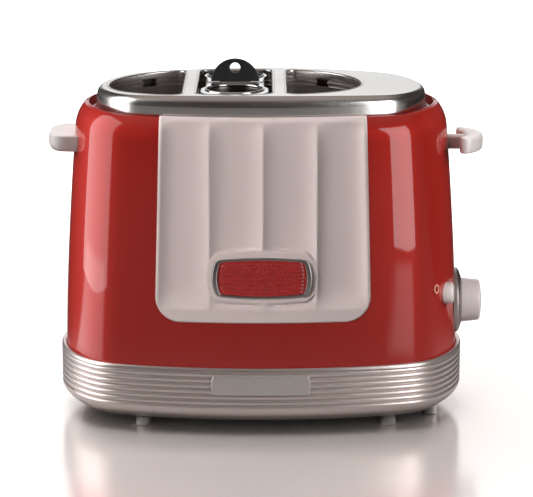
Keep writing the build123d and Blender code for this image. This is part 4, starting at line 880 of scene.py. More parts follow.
def bezelSkin():
    # the frame runs from its outer loop to its inner one: up round the edge, a broad crown, down inside
    middle, height, *outer = panel["badge"]
    halfWidth, halfHeight = outer[:2]
    outerX, outerZ = badgeLoop(*outer)
    innerX, innerZ = badgeLoop(*badge["inner"])
    turn = np.linspace(0, 1, badge["crownRows"])
    high, low, foot = badge["height"], badge["lip"] - badge["sunk"], -badge["sunk"]
    crown = np.stack([turn, low + (high - low) * (1 - np.abs(2 * turn - 1) ** badge["crownPower"])], -1)
    profile = np.concatenate([[(0, foot)], crown, [(1, foot)]])
    share, stand = profile[None, :, 0], profile[None, :, 1] * np.ones((len(outerX), 1))
    dome = 1 - badge["fall"] * np.clip(np.abs(outerZ[:, None]) / halfHeight, 0, 1) ** 2
    stand = np.where(stand > 0, stand * dome, stand)
    x = outerX[:, None] * (1 - share) + innerX[:, None] * share
    z = outerZ[:, None] * (1 - share) + innerZ[:, None] * share + height
    return panelPoint(x + middle, z, stand), gridFaces(len(outerX), len(profile), wrapRows=True)


def insertSkins():
    # ribs run across: half round strips between grooves, with round ends short of the frame
    middle, height = panel["badge"][:2]
    halfWidth, halfHeight, bow, corner, ends = badge["inner"]
    a, b = np.meshgrid(np.linspace(-1.01, 1.01, 150), np.linspace(-1.01, 1.01, 12 * badge["grooves"] + 1))
    x, z = bowed(a * halfWidth, b * halfHeight, halfWidth, halfHeight, bow, ends)
    strip = np.mod((b + 1) * badge["grooves"] / 2, 1.0) * 2 - 1
    pitch = 2 * halfHeight / badge["grooves"]
    past = np.clip((np.abs(a) - badge["ribEnd"]) * halfWidth / (0.5 * pitch) + 0.8, 0, 2)
    dome = np.sqrt(np.clip(1 - strip**2 - past**2, 0, 1))
    stand = badge["insert"] - badge["groove"] * (1 - dome)
    return [panelPoint(x + middle, z + height, depth) for depth in (stand, np.full_like(x, -badge["back"]))]


makePiece("badge_rim", *bezelSkin(), "housing", "dark_chrome", ("badge_bezel",), crease=60)
makePiece("badge_ribs", *closedSheet(*insertSkins()), "housing", "red_plastic", ("badge_insert",), crease=60)

# plaque on the base

plaque = {"half": (31.5, 6.4), "middle": 33.6, "proud": 1.3, "edge": 0.9, "bowEnds": 1.4, "sunk": 1.6}


def plaqueSkins():
    # a plate with bowed ends whose edge is a quarter round all the way
    edge, (halfWidth, halfHeight) = plaque["edge"], plaque["half"]
    rim = 1 - np.cos(np.radians(np.linspace(0, 90, 6)))
    inX = np.concatenate([rim * edge / halfWidth, np.linspace(edge / halfWidth, 1, 28)[1:]])
    inZ = np.concatenate([rim * edge / halfHeight, np.linspace(edge / halfHeight, 1, 8)[1:]])
    a = np.concatenate([inX - 1, (1 - inX[::-1])[1:]])
    b = np.concatenate([inZ - 1, (1 - inZ[::-1])[1:]])
    a, b = np.meshgrid(a, b)
    z = b * halfHeight
    x = a * (halfWidth - plaque["bowEnds"] * b**2)
    near = np.minimum((1 - np.abs(a)) * halfWidth, (1 - np.abs(b)) * halfHeight)
    rise = np.sqrt(np.clip(edge**2 - (edge - np.clip(near, 0, edge)) ** 2, 0, None)) + plaque["proud"] - edge
    skins = []
    for stand in (rise, np.full_like(rise, -plaque["sunk"])):
        skins.append(np.stack([x, frontAt(x, body["base"][1] + stand), z + plaque["middle"]], -1))
    return skins


makePiece("plaque_face", *closedSheet(*plaqueSkins()), "housing", "silver_plate", ("name_plate",), crease=60)
print("badge and plaque made")

# cover

cover = {
    "ledge": 197.0,
    "rollRise": 7.6,
    "rollRun": 4.4,
    "rollTurn": 52.0,  # the angle at which the roll meets the small round of the top's edge
    "rollEdge": 1.5,
    "sheet": 0.8,
    "rimRadius": 1.1,
    "rimProud": 0.25,
    "collar": 4.0,
    "cut": (190, 230),  # foot and top of the openings' cutters
    "rimOut": 0.35,  # the rim's quarter circle stands this far out of the opening
    "rimEdge": ((0.75, -0.1), (0.65, 0.05)),  # out past the circle and up: where the rim leaves the cover
}


def crownDrop(x):
    # the top falls with the square of the distance from the middle
    return -body["crown"] * (x / body["cover"][0]) ** 2


def bunLoop(side, grow, step=2.5):
    # the D of a bun well: a large arc toward the end, two corner arcs, and a straight line toward the middle
    radius, corner = wells["halfDepth"], wells["corner"]
    centre = wells["bunReach"] - radius
    cornerX = wells["bunFlat"] + corner
    cornerY = math.sqrt((radius - corner) ** 2 - (cornerX - centre) ** 2)
    turn = math.degrees(math.atan2(cornerY, cornerX - centre))
    segments = [(centre, 0, radius + grow, -turn, turn, 66), (cornerX, cornerY, corner + grow, turn, 180, 14),
                (cornerX, -cornerY, corner + grow, 180, 360 - turn, 14)]
    points, outward = loopOf(segments, step)
    flip = np.array([side, 1.0])
    points, outward = points * flip + np.array([wells["middle"], 0]), outward * flip
    return (points, outward) if side > 0 else (points[::-1], outward[::-1])


def windowLoop(grow, step=2.5):
    # the rounded rectangle of the basket well
    x, y = wells["windowHalf"], wells["halfDepth"]
    back, front = wells["corner"], wells["frontCorner"]
    spots = ((1, 1, back, 0), (-1, 1, back, 90), (-1, -1, front, 180), (1, -1, front, 270))
    points, outward = loopOf([(a * (x - corner), b * (y - corner), corner + grow, turn, turn + 90, 12)
                              for a, b, corner, turn in spots], step)
    return points + np.array([wells["middle"], 0]), outward


def coverLevels(grow):
    # a side that leans in by a part of a quarter turn, and then a small round to the level top
    low, top = body["coverTop"] - cover["rollRise"], body["coverTop"]
    width, depth = body["cover"]
    end, edge = math.radians(cover["rollTurn"]), cover["rollEdge"]
    turn = np.linspace(0, end, 12)
    rise = cover["rollRise"] - edge * (1 - math.sin(end))
    run = cover["rollRun"] - edge * math.cos(end)
    inset = run * (1 - np.cos(turn)) / (1 - math.cos(end))
    side = np.stack([low + rise * np.sin(turn) / math.sin(end), inset, np.cos(turn), np.sin(turn)], -1)
    turn = np.linspace(end, math.radians(88), 9)[1:]
    corner = np.stack([top - edge + edge * np.sin(turn), cover["rollRun"] - edge * np.cos(turn),
                       np.cos(turn), np.sin(turn)], -1)
    height, inset, across, up = np.concatenate([side, corner]).T
    levels = np.stack([height + grow * up, width - inset + grow * across, depth - inset + grow * across], -1)
    foot = [(height, width + grow, depth + grow) for height in (cover["ledge"], (cover["ledge"] + low) / 2)]
    return np.concatenate([foot, levels])


def coverSkin():
    # outside from the foot over the roll to the middle of the crown, then back along the inside
    skins = []
    for grow in (0.0, -cover["sheet"]):
        levels = coverLevels(grow)
        ringPoints = rings(levels, around)
        low = body["coverTop"] - cover["rollRise"]
        weight = np.clip((levels[:, 0] - low) / cover["rollRise"], 0, 1) ** 2
        ringPoints[..., 2] += weight[:, None] * crownDrop(ringPoints[..., 0])
        last = ringPoints[-1]
        share = np.linspace(1, 0, 14)[1:, None, None]
        flat = last[None, :, :2] * share
        height = np.broadcast_to(body["coverTop"] + grow, flat.shape[:2]) + crownDrop(flat[..., 0])
        skins.append(np.concatenate([ringPoints, np.concatenate([flat, height[..., None]], -1)]))
    points = np.concatenate([skins[0], skins[1][::-1]])
    return points, gridFaces(len(points), len(around), wrapRows=True)


def loopCutter(name, loop, low, high):
    # an upright prism over a loop, closed at both ends
    points = sweepLoop(*loop, [(0, low), (0, high)])[0]
    count = len(loop[0])
    caps = [list(range(count)), list(range(count, 2 * count))]
    faces = [*gridFaces(2, count).tolist(), *caps]
    return makePiece(name, points.transpose(1, 0, 2), faces, None, "plain_steel")


topCover = makePiece("cover_sheet", *coverSkin(), "housing", "brushed_cover", ("top_cover",), crease=50)
openings = {"left": bunLoop(-1, 0), "window": windowLoop(0), "right": bunLoop(1, 0)}
for name, (points, outward) in openings.items():
    grown = (points + outward * cover["rimRadius"], outward)
    carve(topCover, loopCutter(name + "Cut", grown, *cover["cut"]), crease=50)


def rimProfile():
    # a sheet that leaves the cover level, turns down through a quarter circle and ends as a collar
    radius, proud, sheet, deep = cover["rimRadius"], cover["rimProud"], cover["sheet"], cover["collar"]
    wide = radius + cover["rimOut"]
    outerTurn = arcPoints(wide, proud - radius, wide, radius, 90, 180, 9)
    innerTurn = arcPoints(wide, proud - radius, wide - sheet, radius - sheet, 180, 90, 6)
    start = [(radius + out, up) for out, up in cover["rimEdge"]]
    end = [(start[0][0], proud - sheet)]
    return np.concatenate([start, outerTurn, [(0, -deep), (sheet, -deep)], innerTurn, end])


for name, (points, outward) in openings.items():
    skin = sweepLoop(points, outward, rimProfile(), lambda x: body["coverTop"] + crownDrop(x))
    makePiece("rim_" + name, *skin, "housing", "brushed_cover", crease=50)
print("cover made:", len(topCover.data.polygons), "faces")

# well liners

liner = {
    "step": 1.5,
    "sheet": 0.8,
    "low": 46.0,
    "top": 211.0,
    "ledges": ((206.4, 0.9), (203.6, 0.9)),  # height and depth of each
    "ledge": (0.5, 0.35, 0.8),  # where its slopes start and end, above and below
    "collar": (1.0, 209.4, 208.9),  # outward step, foot, and top of the wall's own step
    "heat": (129.6, 18.0, 9.0, 35.0),  # the heat slots' middle height, pitch, height and half width
    "arm": (3.5, 45.5, 109.7),  # half width, foot and top of the opening for the rack's arm
    "notch": (3.1, 204.0, 208.3),
}


def linerProfile():
    # height and outward step: two shallow ledges run round below the collar
    out, (near, collarLow, wallHigh) = liner["step"], liner["collar"]
    above, edge, under = liner["ledge"]
    rows = [(liner["top"], near), (collarLow, near), (wallHigh, out)]
    for height, step in liner["ledges"]:
        rows += [(height + above, out), (height, out - step)]
        rows += [(height - edge, out - step), (height - under, out)]
    middle, pitch, slot = liner["heat"][:3]
    edges = [middle + k * pitch + d * slot / 2 for k in (2.5, 1.5, 0.5, -0.5, -1.5, -2.5) for d in (1, -1)]
    rows += [(z, out) for z in (*edges, liner["arm"][2], 100.0, liner["low"], *liner["notch"][1:])]
    rows = sorted(set(rows), key=lambda row: -row[0])
    return np.array(rows)


def makeLiner(name, loop, flats, armX, replaced):
    # the wall's skin, open at the top and the foot, without the cells of its slots, and then given its sheet
    points, outward = loop
    profile = linerProfile()
    flat = points[None] + outward[None] * profile[:, None, 1:]
    skin = np.concatenate([flat, np.broadcast_to(profile[:, None, :1], flat.shape[:2] + (1,))], -1)
    faces = gridFaces(len(profile), len(points))
    middle = skin.reshape(-1, 3)[faces].mean(1)
    heat, pitch, slot, half = liner["heat"]
    level = np.abs(np.mod((middle[:, 2] - heat) / pitch, 1.0) - 0.5) * pitch < slot / 2
    level &= np.abs(middle[:, 2] - heat) < 3 * pitch
    gone = np.zeros(len(faces), bool)
    for x in flats:
        gone |= level & (np.abs(middle[:, 0] - x) < 0.6) & (np.abs(middle[:, 1]) < half)
    armHalf, armLow, armHigh = liner["arm"]
    gone |= (np.abs(middle[:, 0] - armX) < armHalf) & (middle[:, 1] > 0) & (middle[:, 2] < armHigh)
    notchHalf, notchLow, notchHigh = liner["notch"]
    notch = (np.abs(middle[:, 0] - armX) < notchHalf) & (middle[:, 1] > 0) & (middle[:, 2] > notchLow)
    gone |= notch & (middle[:, 2] < notchHigh)
    piece = makePiece(name, skin, faces[~gone], "housing", "well_steel", (replaced,), crease=40)
    thicken(piece, liner["sheet"], 1.0)


middleWell = wells["middle"]
for side, name in ((-1, "left"), (1, "right")):
    flatX = middleWell + side * (wells["bunFlat"] - liner["step"])
    armX = middleWell + side * (wells["bunFlat"] + wells["bunReach"]) / 2
    makeLiner("well_" + name, bunLoop(side, 0, 1.2), [flatX], armX, name + "_bun_liner")
reach = wells["windowHalf"] + liner["step"]
flats = [middleWell - reach, middleWell + reach]
makeLiner("well_middle", windowLoop(0, 1.2), flats, middleWell, "basket_liner")
print("liners made")

# sausage basket

basket = {
    "top": 213.2,
    "low": 108.2,
    "sheet": 0.8,
    "cupSide": 29.5,
    "cup": 17.5,
    "flange": 20.3,
    "waist": 18.6,
    "frontPlate": (21.4, 22.3, 4.5),  # half sizes and power of the front flange's squarer part
    "slots": 8,
    "slotWidth": 7.0,
    "slotLow": 122.0,
    "slotHigh": 198.0,
    "bead": 0.85,
    "footRound": 2.2,
    "drop": 0.2,  # the wells' and flanges' top under the basket's
    "cupRows": (140, 160, 180),
    "cupLip": ((7.0, 0.0), (1.6, 0.0), (0.5, 0.25), (0.0, 0.9)),  # down from the top, out
    "beadOut": 0.35,
    "ringInner": 1.1,
}


def cupSkin(side):
    # a round well with a curved foot: rows of height and radius, without the cells of its upright slots
    half = basket["sheet"] / 2
    top, low, radius = basket["top"] - basket["drop"], basket["low"] + half, basket["cup"] + half
    rows = [(low, 0), (low, radius * 0.5)]
    turn = basket["footRound"]
    rows += [tuple(p[::-1]) for p in arcPoints(radius - turn, low + turn, turn, turn, -90, 0, 6)]
    rows += [(z, radius) for z in (basket["slotLow"], *basket["cupRows"], basket["slotHigh"])]
    rows += [(top - down, radius + out) for down, out in basket["cupLip"]]
    points, faces = lathe(rows, (middleWell, side * basket["cupSide"], 0), "z", 160)
    middle = points.reshape(-1, 3)[faces].mean(1)
    angle = np.degrees(np.arctan2(middle[:, 1] - side * basket["cupSide"], middle[:, 0] - middleWell))
    pitch = 360 / basket["slots"]
    half = math.degrees(basket["slotWidth"] / 2 / basket["cup"])
    off = np.abs(np.mod(angle, pitch) - pitch / 2)
    gone = (off < half) & (middle[:, 2] > basket["slotLow"]) & (middle[:, 2] < basket["slotHigh"])
    return points.reshape(-1, 3), faces[~gone]


def flangeSkin(side):
    # a flat ring round a well, squarer at the front of the front one, drawn in to the waist at the middle
    angle = np.linspace(0, 2 * np.pi, 200, endpoint=False)
    x, y = np.cos(angle), np.sin(angle)
    inner, plain = basket["cup"] + basket["ringInner"], basket["flange"]
    toward = -side * y
    halfX, halfY, power = basket["frontPlate"]
    square = ((np.abs(x) / halfX) ** power + (np.abs(y) / halfY) ** power) ** (-1 / power)
    outer = plain + (square - plain) * (1 - ease(toward, 0.0, 0.75)) if side < 0 else np.full_like(x, plain)
    toMiddle = basket["cupSide"] / np.maximum(toward, tiny)
    toWaist = basket["waist"] / np.maximum(np.abs(x), tiny)
    web = np.where((toward > 0) & (np.abs(x) * toMiddle < basket["waist"] + 0.01), toMiddle, 0)
    web = np.where((toward > 0.25) & (web == 0), np.minimum(toWaist, toMiddle), web)
    radius = np.maximum(outer, np.minimum(web, 40))
    share = np.array([0, 0.35, 0.7, 1.0])[:, None]
    reach = inner + (radius - inner) * share
    height = np.full(reach.shape, basket["top"] - basket["drop"])
    points = np.stack([middleWell + reach * x, side * basket["cupSide"] + reach * y, height], -1)
    return points.reshape(-1, 3), gridFaces(4, len(angle))


def beadSkin(side, radius, height, size):
    # a round bead along a circle
    profile = arcPoints(height, radius, size, size, 0, 360, 13)[:-1]
    return lathe(profile, (middleWell, side * basket["cupSide"], 0), "z", 160)


basketPieces = []
for side, name in ((-1, "front"), (1, "rear")):
    # the cups wear the painted-shade metal, not the basket's bright chrome
    cup = makePiece("cup_" + name, *cupSkin(side), "basket", "bright_chrome", crease=50, look="cup_painted_shade")
    flange = makePiece("flange_" + name, *flangeSkin(side), "basket", "bright_chrome", crease=50)
    for piece in (cup, flange):
        thicken(piece, basket["sheet"], 0.0)
    ring = beadSkin(side, basket["cup"] + basket["beadOut"], basket["top"] + 0.1, basket["bead"])
    bead = makePiece("bead_" + name, *ring, "basket", "bright_chrome")
    basketPieces += [cup, flange, bead]
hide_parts("sausage_basket")

tongue = {"half": 11.0, "low": 202.0, "near": 1.5, "far": 2.3, "bar": (14.9, 0.5, -2.1, 0.4)}
barHalf, barRadius, barDepth, barRise = tongue["bar"]
barEnd = [(barHalf - 0.3, barRadius), (barHalf, barRadius * 0.7), (barHalf, 0)]
barEnds = [(-x, r) for x, r in barEnd[::-1]] + barEnd
bar = lathe(barEnds, (middleWell, barDepth, basket["top"] + barRise), "x", 24)
makePiece("tab_bar", *bar, "basket", "bright_chrome", crease=50)
x, z = np.meshgrid(np.linspace(-1, 1, 9) * tongue["half"], np.linspace(tongue["low"], basket["top"] - 0.3, 5))
depths = [np.full_like(x, tongue[name]) for name in ("near", "far")]
skins = [np.stack([middleWell + x, depth, z], -1) for depth in depths]
makePiece("tab_tongue", *closedSheet(*skins), "basket", "bright_chrome")

# finger tab

tab = {"radius": 15.6, "half": 1.5, "bevel": 0.7, "hole": 3.35, "holeRise": 9.6, "baseRise": 0.9,
       "neckHalf": 10.0, "neckLow": -11.2}


def tabReach(angle):
    # distance from the hole's middle to the outline along a ray: the half disc above, the neck below
    x, z = np.cos(angle), np.sin(angle)
    rise, radius = tab["holeRise"], tab["radius"]
    arc = -rise * z + np.sqrt(radius**2 - rise**2 * x**2)
    down = np.maximum(-z, tiny)
    baseLine = (rise - tab["baseRise"]) / down
    inNeck = np.abs(x) * baseLine < tab["neckHalf"]
    neck = np.minimum(tab["neckHalf"] / np.maximum(np.abs(x), tiny), (rise - tab["neckLow"]) / down)
    below = np.where(inNeck, neck, baseLine)
    return np.where((z < 0) & (baseLine < arc), below, arc)


def tabSkin():
    # rings from the hole to the edge on the front face, round the edge, and back on the rear face
    rise, low, neck, radius = tab["holeRise"], tab["neckLow"], tab["neckHalf"], tab["radius"]
    base = tab["baseRise"] - rise
    shoulder = math.sqrt(radius**2 - tab["baseRise"] ** 2)
    corners = [math.atan2(base, shoulder), math.atan2(base, neck), math.atan2(low - rise, neck)]
    corners = corners + [math.pi - c - 2 * math.pi for c in corners[::-1]]
    angle = np.sort(np.concatenate([np.linspace(-math.pi, math.pi, 150, endpoint=False), corners]))
    reach = tabReach(angle)
    turn = np.radians(np.linspace(0, 90, 5))
    bevel, half, hole = tab["bevel"], tab["half"], tab["hole"]
    radii = [np.full(len(angle), hole + bevel * (1 - math.cos(t))) for t in turn]
    radii += [(hole + reach) / 2]
    radii += [reach - bevel * (1 - math.sin(t)) for t in turn]
    depths = [half - bevel + bevel * math.sin(t) for t in turn] + [half]
    depths += [half - bevel + bevel * math.cos(t) for t in turn]
    radii, depths = np.array(radii + radii[::-1]), np.array(depths + [-d for d in depths[::-1]])
    x = middleWell + radii * np.cos(angle)
    z = basket["top"] + rise + radii * np.sin(angle)
    y = np.broadcast_to(depths[:, None], x.shape)
    return np.stack([x, -y, z], -1), gridFaces(len(radii), len(angle), wrapRows=True)


makePiece("finger_tab", *tabSkin(), "basket", "black_tab", ("basket_tab",), crease=35)
print("basket made")

# lever knob and grip

lever = {"bow": 7.6, "side": 17.0, "half": 4.3, "reach": 143.2, "low": 170.0, "high": 181.0, "power": 0.5,
         "thicker": 0.8, "neck": (118.6, 4.6, 4.5, 174.8), "steps": 30, "capSteps": 8, "flatter": 0.12,
         "neckPower": 0.35}


def sectionRing(halfA, halfB, power, count=40):
    # a superellipse: cosine and sine keep their signs and are raised to a power
    turn = np.linspace(0, 2 * np.pi, count, endpoint=False)
    return (halfA * np.sign(np.cos(turn)) * np.abs(np.cos(turn)) ** power,
            halfB * np.sign(np.sin(turn)) * np.abs(np.sin(turn)) ** power)


def fingerSkin():
    # a rounded section carried along an arc in plan, whose width closes through a half circle at both ends
    radius = (lever["side"] ** 2 + lever["bow"] ** 2) / (2 * lever["bow"])
    centre = lever["reach"] - lever["half"] - radius
    limit = math.asin(lever["side"] / radius)
    steps, capSteps = lever["steps"], lever["capSteps"]
    cap = np.radians(np.linspace(90, 0, capSteps + 1))[:-1]
    swing = np.linspace(-limit, limit, steps)
    turn = np.concatenate([np.full(capSteps, -limit), swing, np.full(capSteps, limit)])
    over = np.concatenate([-np.sin(cap), np.zeros(steps), np.sin(cap[::-1])]) * lever["half"]
    wide = np.concatenate([np.cos(cap), np.ones(steps), np.cos(cap[::-1])])
    high = 1 - lever["flatter"] * (1 - wide) ** 2
    a, b = sectionRing(lever["half"], (lever["high"] - lever["low"]) / 2, lever["power"])
    inner = 1 + lever["thicker"] * (1 - (turn / limit) ** 2)
    radial = radius + a[None] * wide[:, None] * np.where(a[None] < 0, inner[:, None], 1)
    x = centre + radial * np.cos(turn)[:, None] - over[:, None] * np.sin(turn)[:, None]
    y = radial * np.sin(turn)[:, None] + over[:, None] * np.cos(turn)[:, None]
    z = (lever["high"] + lever["low"]) / 2 + b[None] * high[:, None]
    points = np.stack([x, y, z], -1)
    return points, gridFaces(len(turn), len(a))


def neckSkin():
    # the rounded section of the neck, closed to a point at both ends
    start, halfY, halfZ, height = lever["neck"]
    end = lever["reach"] - lever["half"]
    along = np.array([start, start, start + 0.4, end, end])
    scale = np.array([0, 0.92, 1, 1, 0])
    a, b = sectionRing(halfY, halfZ, lever["neckPower"])
    x = np.broadcast_to(along[:, None], (len(along), len(a)))
    points = np.stack([x, scale[:, None] * a, height + scale[:, None] * b], -1)
    return points, gridFaces(len(along), len(a))


makePiece("lever_finger", *fingerSkin(), "carriage", "white_knob", ("lever_knob",), crease=45)
makePiece("lever_neck", *neckSkin(), "carriage", "white_knob", crease=45)

handle = {"reach": 136.3, "root": 108.0, "half": 24.5, "corner": 14.0, "low": 171.6, "high": 182.6,
          "edge": 1.2, "wall": 4.6, "hollowEnd": 125.0, "hollowEdge": 0.8, "sweep": 4.0, "rise": 6.0}


def gripLoop(inset, inner):
    # a rectangle rounded at its two outer corners, square at its inner ones
    reach, half, corner = handle["reach"] - inset, handle["half"] - inset, handle["corner"] - inset
    corner = max(min(corner, reach - inner - 0.5), 1)
    place, sharp = corner - reach, 0.001
    spots = [(place, half - corner, corner, 90, 180, 18), (place, corner - half, corner, 180, 270, 18),
             (-inner, -half, sharp, 270, 360, 4), (-inner, half, sharp, 0, 90, 4)]
    return loopOf(spots, 60)[0]


def gripRing(inset, inner, height):
    # the loop of the grip at one height
    loop = gripLoop(inset, inner)
    return np.column_stack([loop, np.full(len(loop), height)])


def gripSkin():
    # outside from the foot up over the rounded edge to the middle, and the hollow below; it ends at the shell
    turn = np.radians(np.linspace(0, 90, 7))
    edge, low, high, wall = handle["edge"], handle["low"], handle["high"], handle["wall"]
    rise, sweep = handle["rise"], handle["sweep"]
    levels = [(low + rise * (1 - math.sin(t)), sweep * (1 - math.cos(t))) for t in turn[:0:-1]]
    levels += [(high - edge + edge * math.sin(t), edge * (1 - math.cos(t))) for t in turn]
    outer = [gripRing(inset, handle["root"], z) for z, inset in levels]
    last, middle = outer[-1], outer[-1].mean(0)
    outer += [middle + (last - middle) * share for share in (0.6, 0.2, 0.0)]
    end, bevel = handle["hollowEnd"], handle["hollowEdge"]
    under = [gripRing(wall, end, low), gripRing(wall, end, high - wall - bevel),
             gripRing(wall + bevel, end + bevel, high - wall)]
    under.append(np.broadcast_to(under[-1].mean(0), last.shape))
    points = np.array(under[::-1] + outer)
    width, depth = shellHalf(points[..., 2], -0.02)
    radius = body["arcs"]["end"] * depth
    face = -(width - radius + np.sqrt(radius**2 - points[..., 1] ** 2))
    points[..., 0] = np.minimum(points[..., 0], face)
    return points, gridFaces(*points.shape[:2])


makePiece("grip_face", *gripSkin(), "housing", "white_knob", ("side_handle",), crease=45)

# timer and stop button

dial = {"height": 69.6, "back": 124.3, "ring": 21.2, "ringFront": 130.3, "flat": 15.0, "knob": 14.4,
        "tip": 13.3, "end": 143.8, "dome": 2.0, "round": 1.8}
back, front, side, knob = dial["back"], dial["ringFront"], dial["ring"], dial["knob"]
ringProfile = np.concatenate([
    [(back, 0.0), (back, side - 0.4), (back + 0.4, side)],
    arcPoints(back + 2.6, side - 5.4, 2.9, 5.4, 90, 25, 10),
    arcPoints(front - 0.7, dial["flat"] + 0.9, 0.7, 0.9, 60, 0, 5),
    [(front, knob + 0.5), (front - 0.6, knob + 0.3), (front - 0.6, 0.0)],
])
ring = lathe(ringProfile, (0, 0, dial["height"]), count=160)
makePiece("dial_ring", *ring, "timer", "bright_chrome", ("knob_ring",), look="satin_ring")
end, turn, flat = dial["end"], dial["round"], dial["tip"] - dial["round"]
dome = [(end - dial["dome"] / 2 * share**2, share * flat) for share in (0.85, 0.6, 0.35, 0.15, 0.0)]
knobProfile = np.concatenate([
    [(front - 0.5, 0.0), (front - 0.5, knob - 0.1), (front, knob)],
    arcPoints(end - 1.0 - turn, flat, turn, turn, 88, 12, 10),
    dome,
])
turned = lathe(knobProfile, (0, 0, dial["height"]), count=160)
makePiece("dial_knob", *turned, "timer", "white_knob", ("timer_knob",))

button = {"y": -35.0, "height": 82.6, "back": 111.1, "front": 123.4, "radius": 7.0, "flange": 8.6,
          "flangeDeep": 1.5, "edge": 2.2, "stem": 3.0, "stemStart": 103.0}
back, front, edge = button["back"], button["front"], button["edge"]
step = back + button["flangeDeep"]
buttonProfile = np.concatenate([
    [(button["stemStart"], 0.0), (button["stemStart"], button["stem"]), (back, button["stem"]),
     (back, button["flange"]), (step, button["flange"]), (step, button["radius"])],
    arcPoints(front - edge, button["radius"] - edge, edge, edge, 90, 8, 9),
    [(front, 3.5), (front - 0.15, 1.8), (front - 0.2, 0.0)],
])
cap = lathe(buttonProfile, (0, button["y"], button["height"]), count=96)
makePiece("stop_cap", *cap, "stop", "white_knob", ("stop_button",))
print("controls made")

# feet

feet = {
    "radius": 5.0,
    "height": 8.7,
    "edge": 1.1,
    "dimple": (0.25, 2.6, 2.9),  # depth, and the radii where it ends and where the foot stands
    "places": ((-75, 51.5), (-75, -51.5), (81, 51.5), (81, -51.5), (109, 27.5), (109, -27.5)),
}
radius, height, edge = feet["radius"], feet["height"], feet["edge"]
deep, near, far = feet["dimple"]
profile = np.concatenate([
    [(deep, 0.0), (deep, near), (0.0, far), (0.0, radius - edge)],
    arcPoints(edge, radius - edge, -edge, edge, 0, 90, 6)[1:],
    [(height, radius), (height, 0.0)],
])
makePiece("rubber_feet", *lathesAt(profile, feet["places"], 48), "housing", "foot_rubber", ("feet",))

# return spring

spring = {"turns": 15, "radius": 3.6, "wire": 0.7, "low": 11.7, "high": 96.0, "rodY": -20.0, "travel": 55.0,
          "flatTurns": 1.2, "steps": 28, "sides": 10}
rodX = (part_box("guide_rods")[0].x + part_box("guide_rods")[1].x) / 2 / mm - middleX


def springSkin():
    # a round wire on a helix whose first and last turns lie flat
    turns, wire, sides = spring["turns"], spring["wire"], spring["sides"]
    share = np.linspace(0, 1, turns * spring["steps"] + 1)
    angle = 2 * np.pi * turns * share
    flatShare = spring["flatTurns"] / turns
    climb = np.clip((share - flatShare) / (1 - 2 * flatShare), 0, 1)
    z = spring["low"] + wire + climb * (spring["high"] - spring["low"] - 2 * wire)
    ringAngle = np.linspace(0, 2 * np.pi, sides, endpoint=False)
    radial = spring["radius"] + wire * np.cos(ringAngle)[None]
    x = rodX + radial * np.cos(angle)[:, None]
    y = spring["rodY"] + radial * np.sin(angle)[:, None]
    z = z[:, None] + wire * np.sin(ringAngle)[None]
    ends = [[start + k for k in range(sides)] for start in (0, (len(share) - 1) * sides)]
    return np.stack([x, y, z], -1), [*gridFaces(len(share), sides).tolist(), *ends]


coil = springSkin()
springPiece = makePiece("spring_wire", *coil, "housing", "spring_steel", ("return_spring",), crease=80)
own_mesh(springPiece)
print("spring made")

# floor, lights and camera

stage = {
    "floorHalf": 6.0,
    "floorTone": (0.80, 0.76, 0.735),
    "glossTone": (0.62, 0.60, 0.59),
    "glossFar": (0.2, 0.18, 0.17),  # the floor's own gloss as reflections see it
    "glossRoughness": 0.18,
    "nearFloor": (0.14, 0.42, 0.42),  # in reflections the floor dims between two radii to a share
    "behind": (0.0, 0.2, 0.08),  # and behind the object
    "patches": ((-109, -67, 1.5, 0.22), (37, 58, 1.2, 0.27)),  # a bright part's bearings, level and start
    "patchEdge": 0.05,
    "patchReach": (0.1, 0.75, 0.9),  # how soon a bright part is full, and where it ends
    "whites": ((0.2, 0.62, 0.5), (0.42, 0.8, 0.55)),  # radii and strength of the white that the camera sees
    "bounce": 0.15,  # share of the floor's colour that diffuse rays see
}


def clearTree(owner):
    # the empty node tree of a material or a world
    owner.use_nodes = True
    owner.node_tree.nodes.clear()
    return owner.node_tree


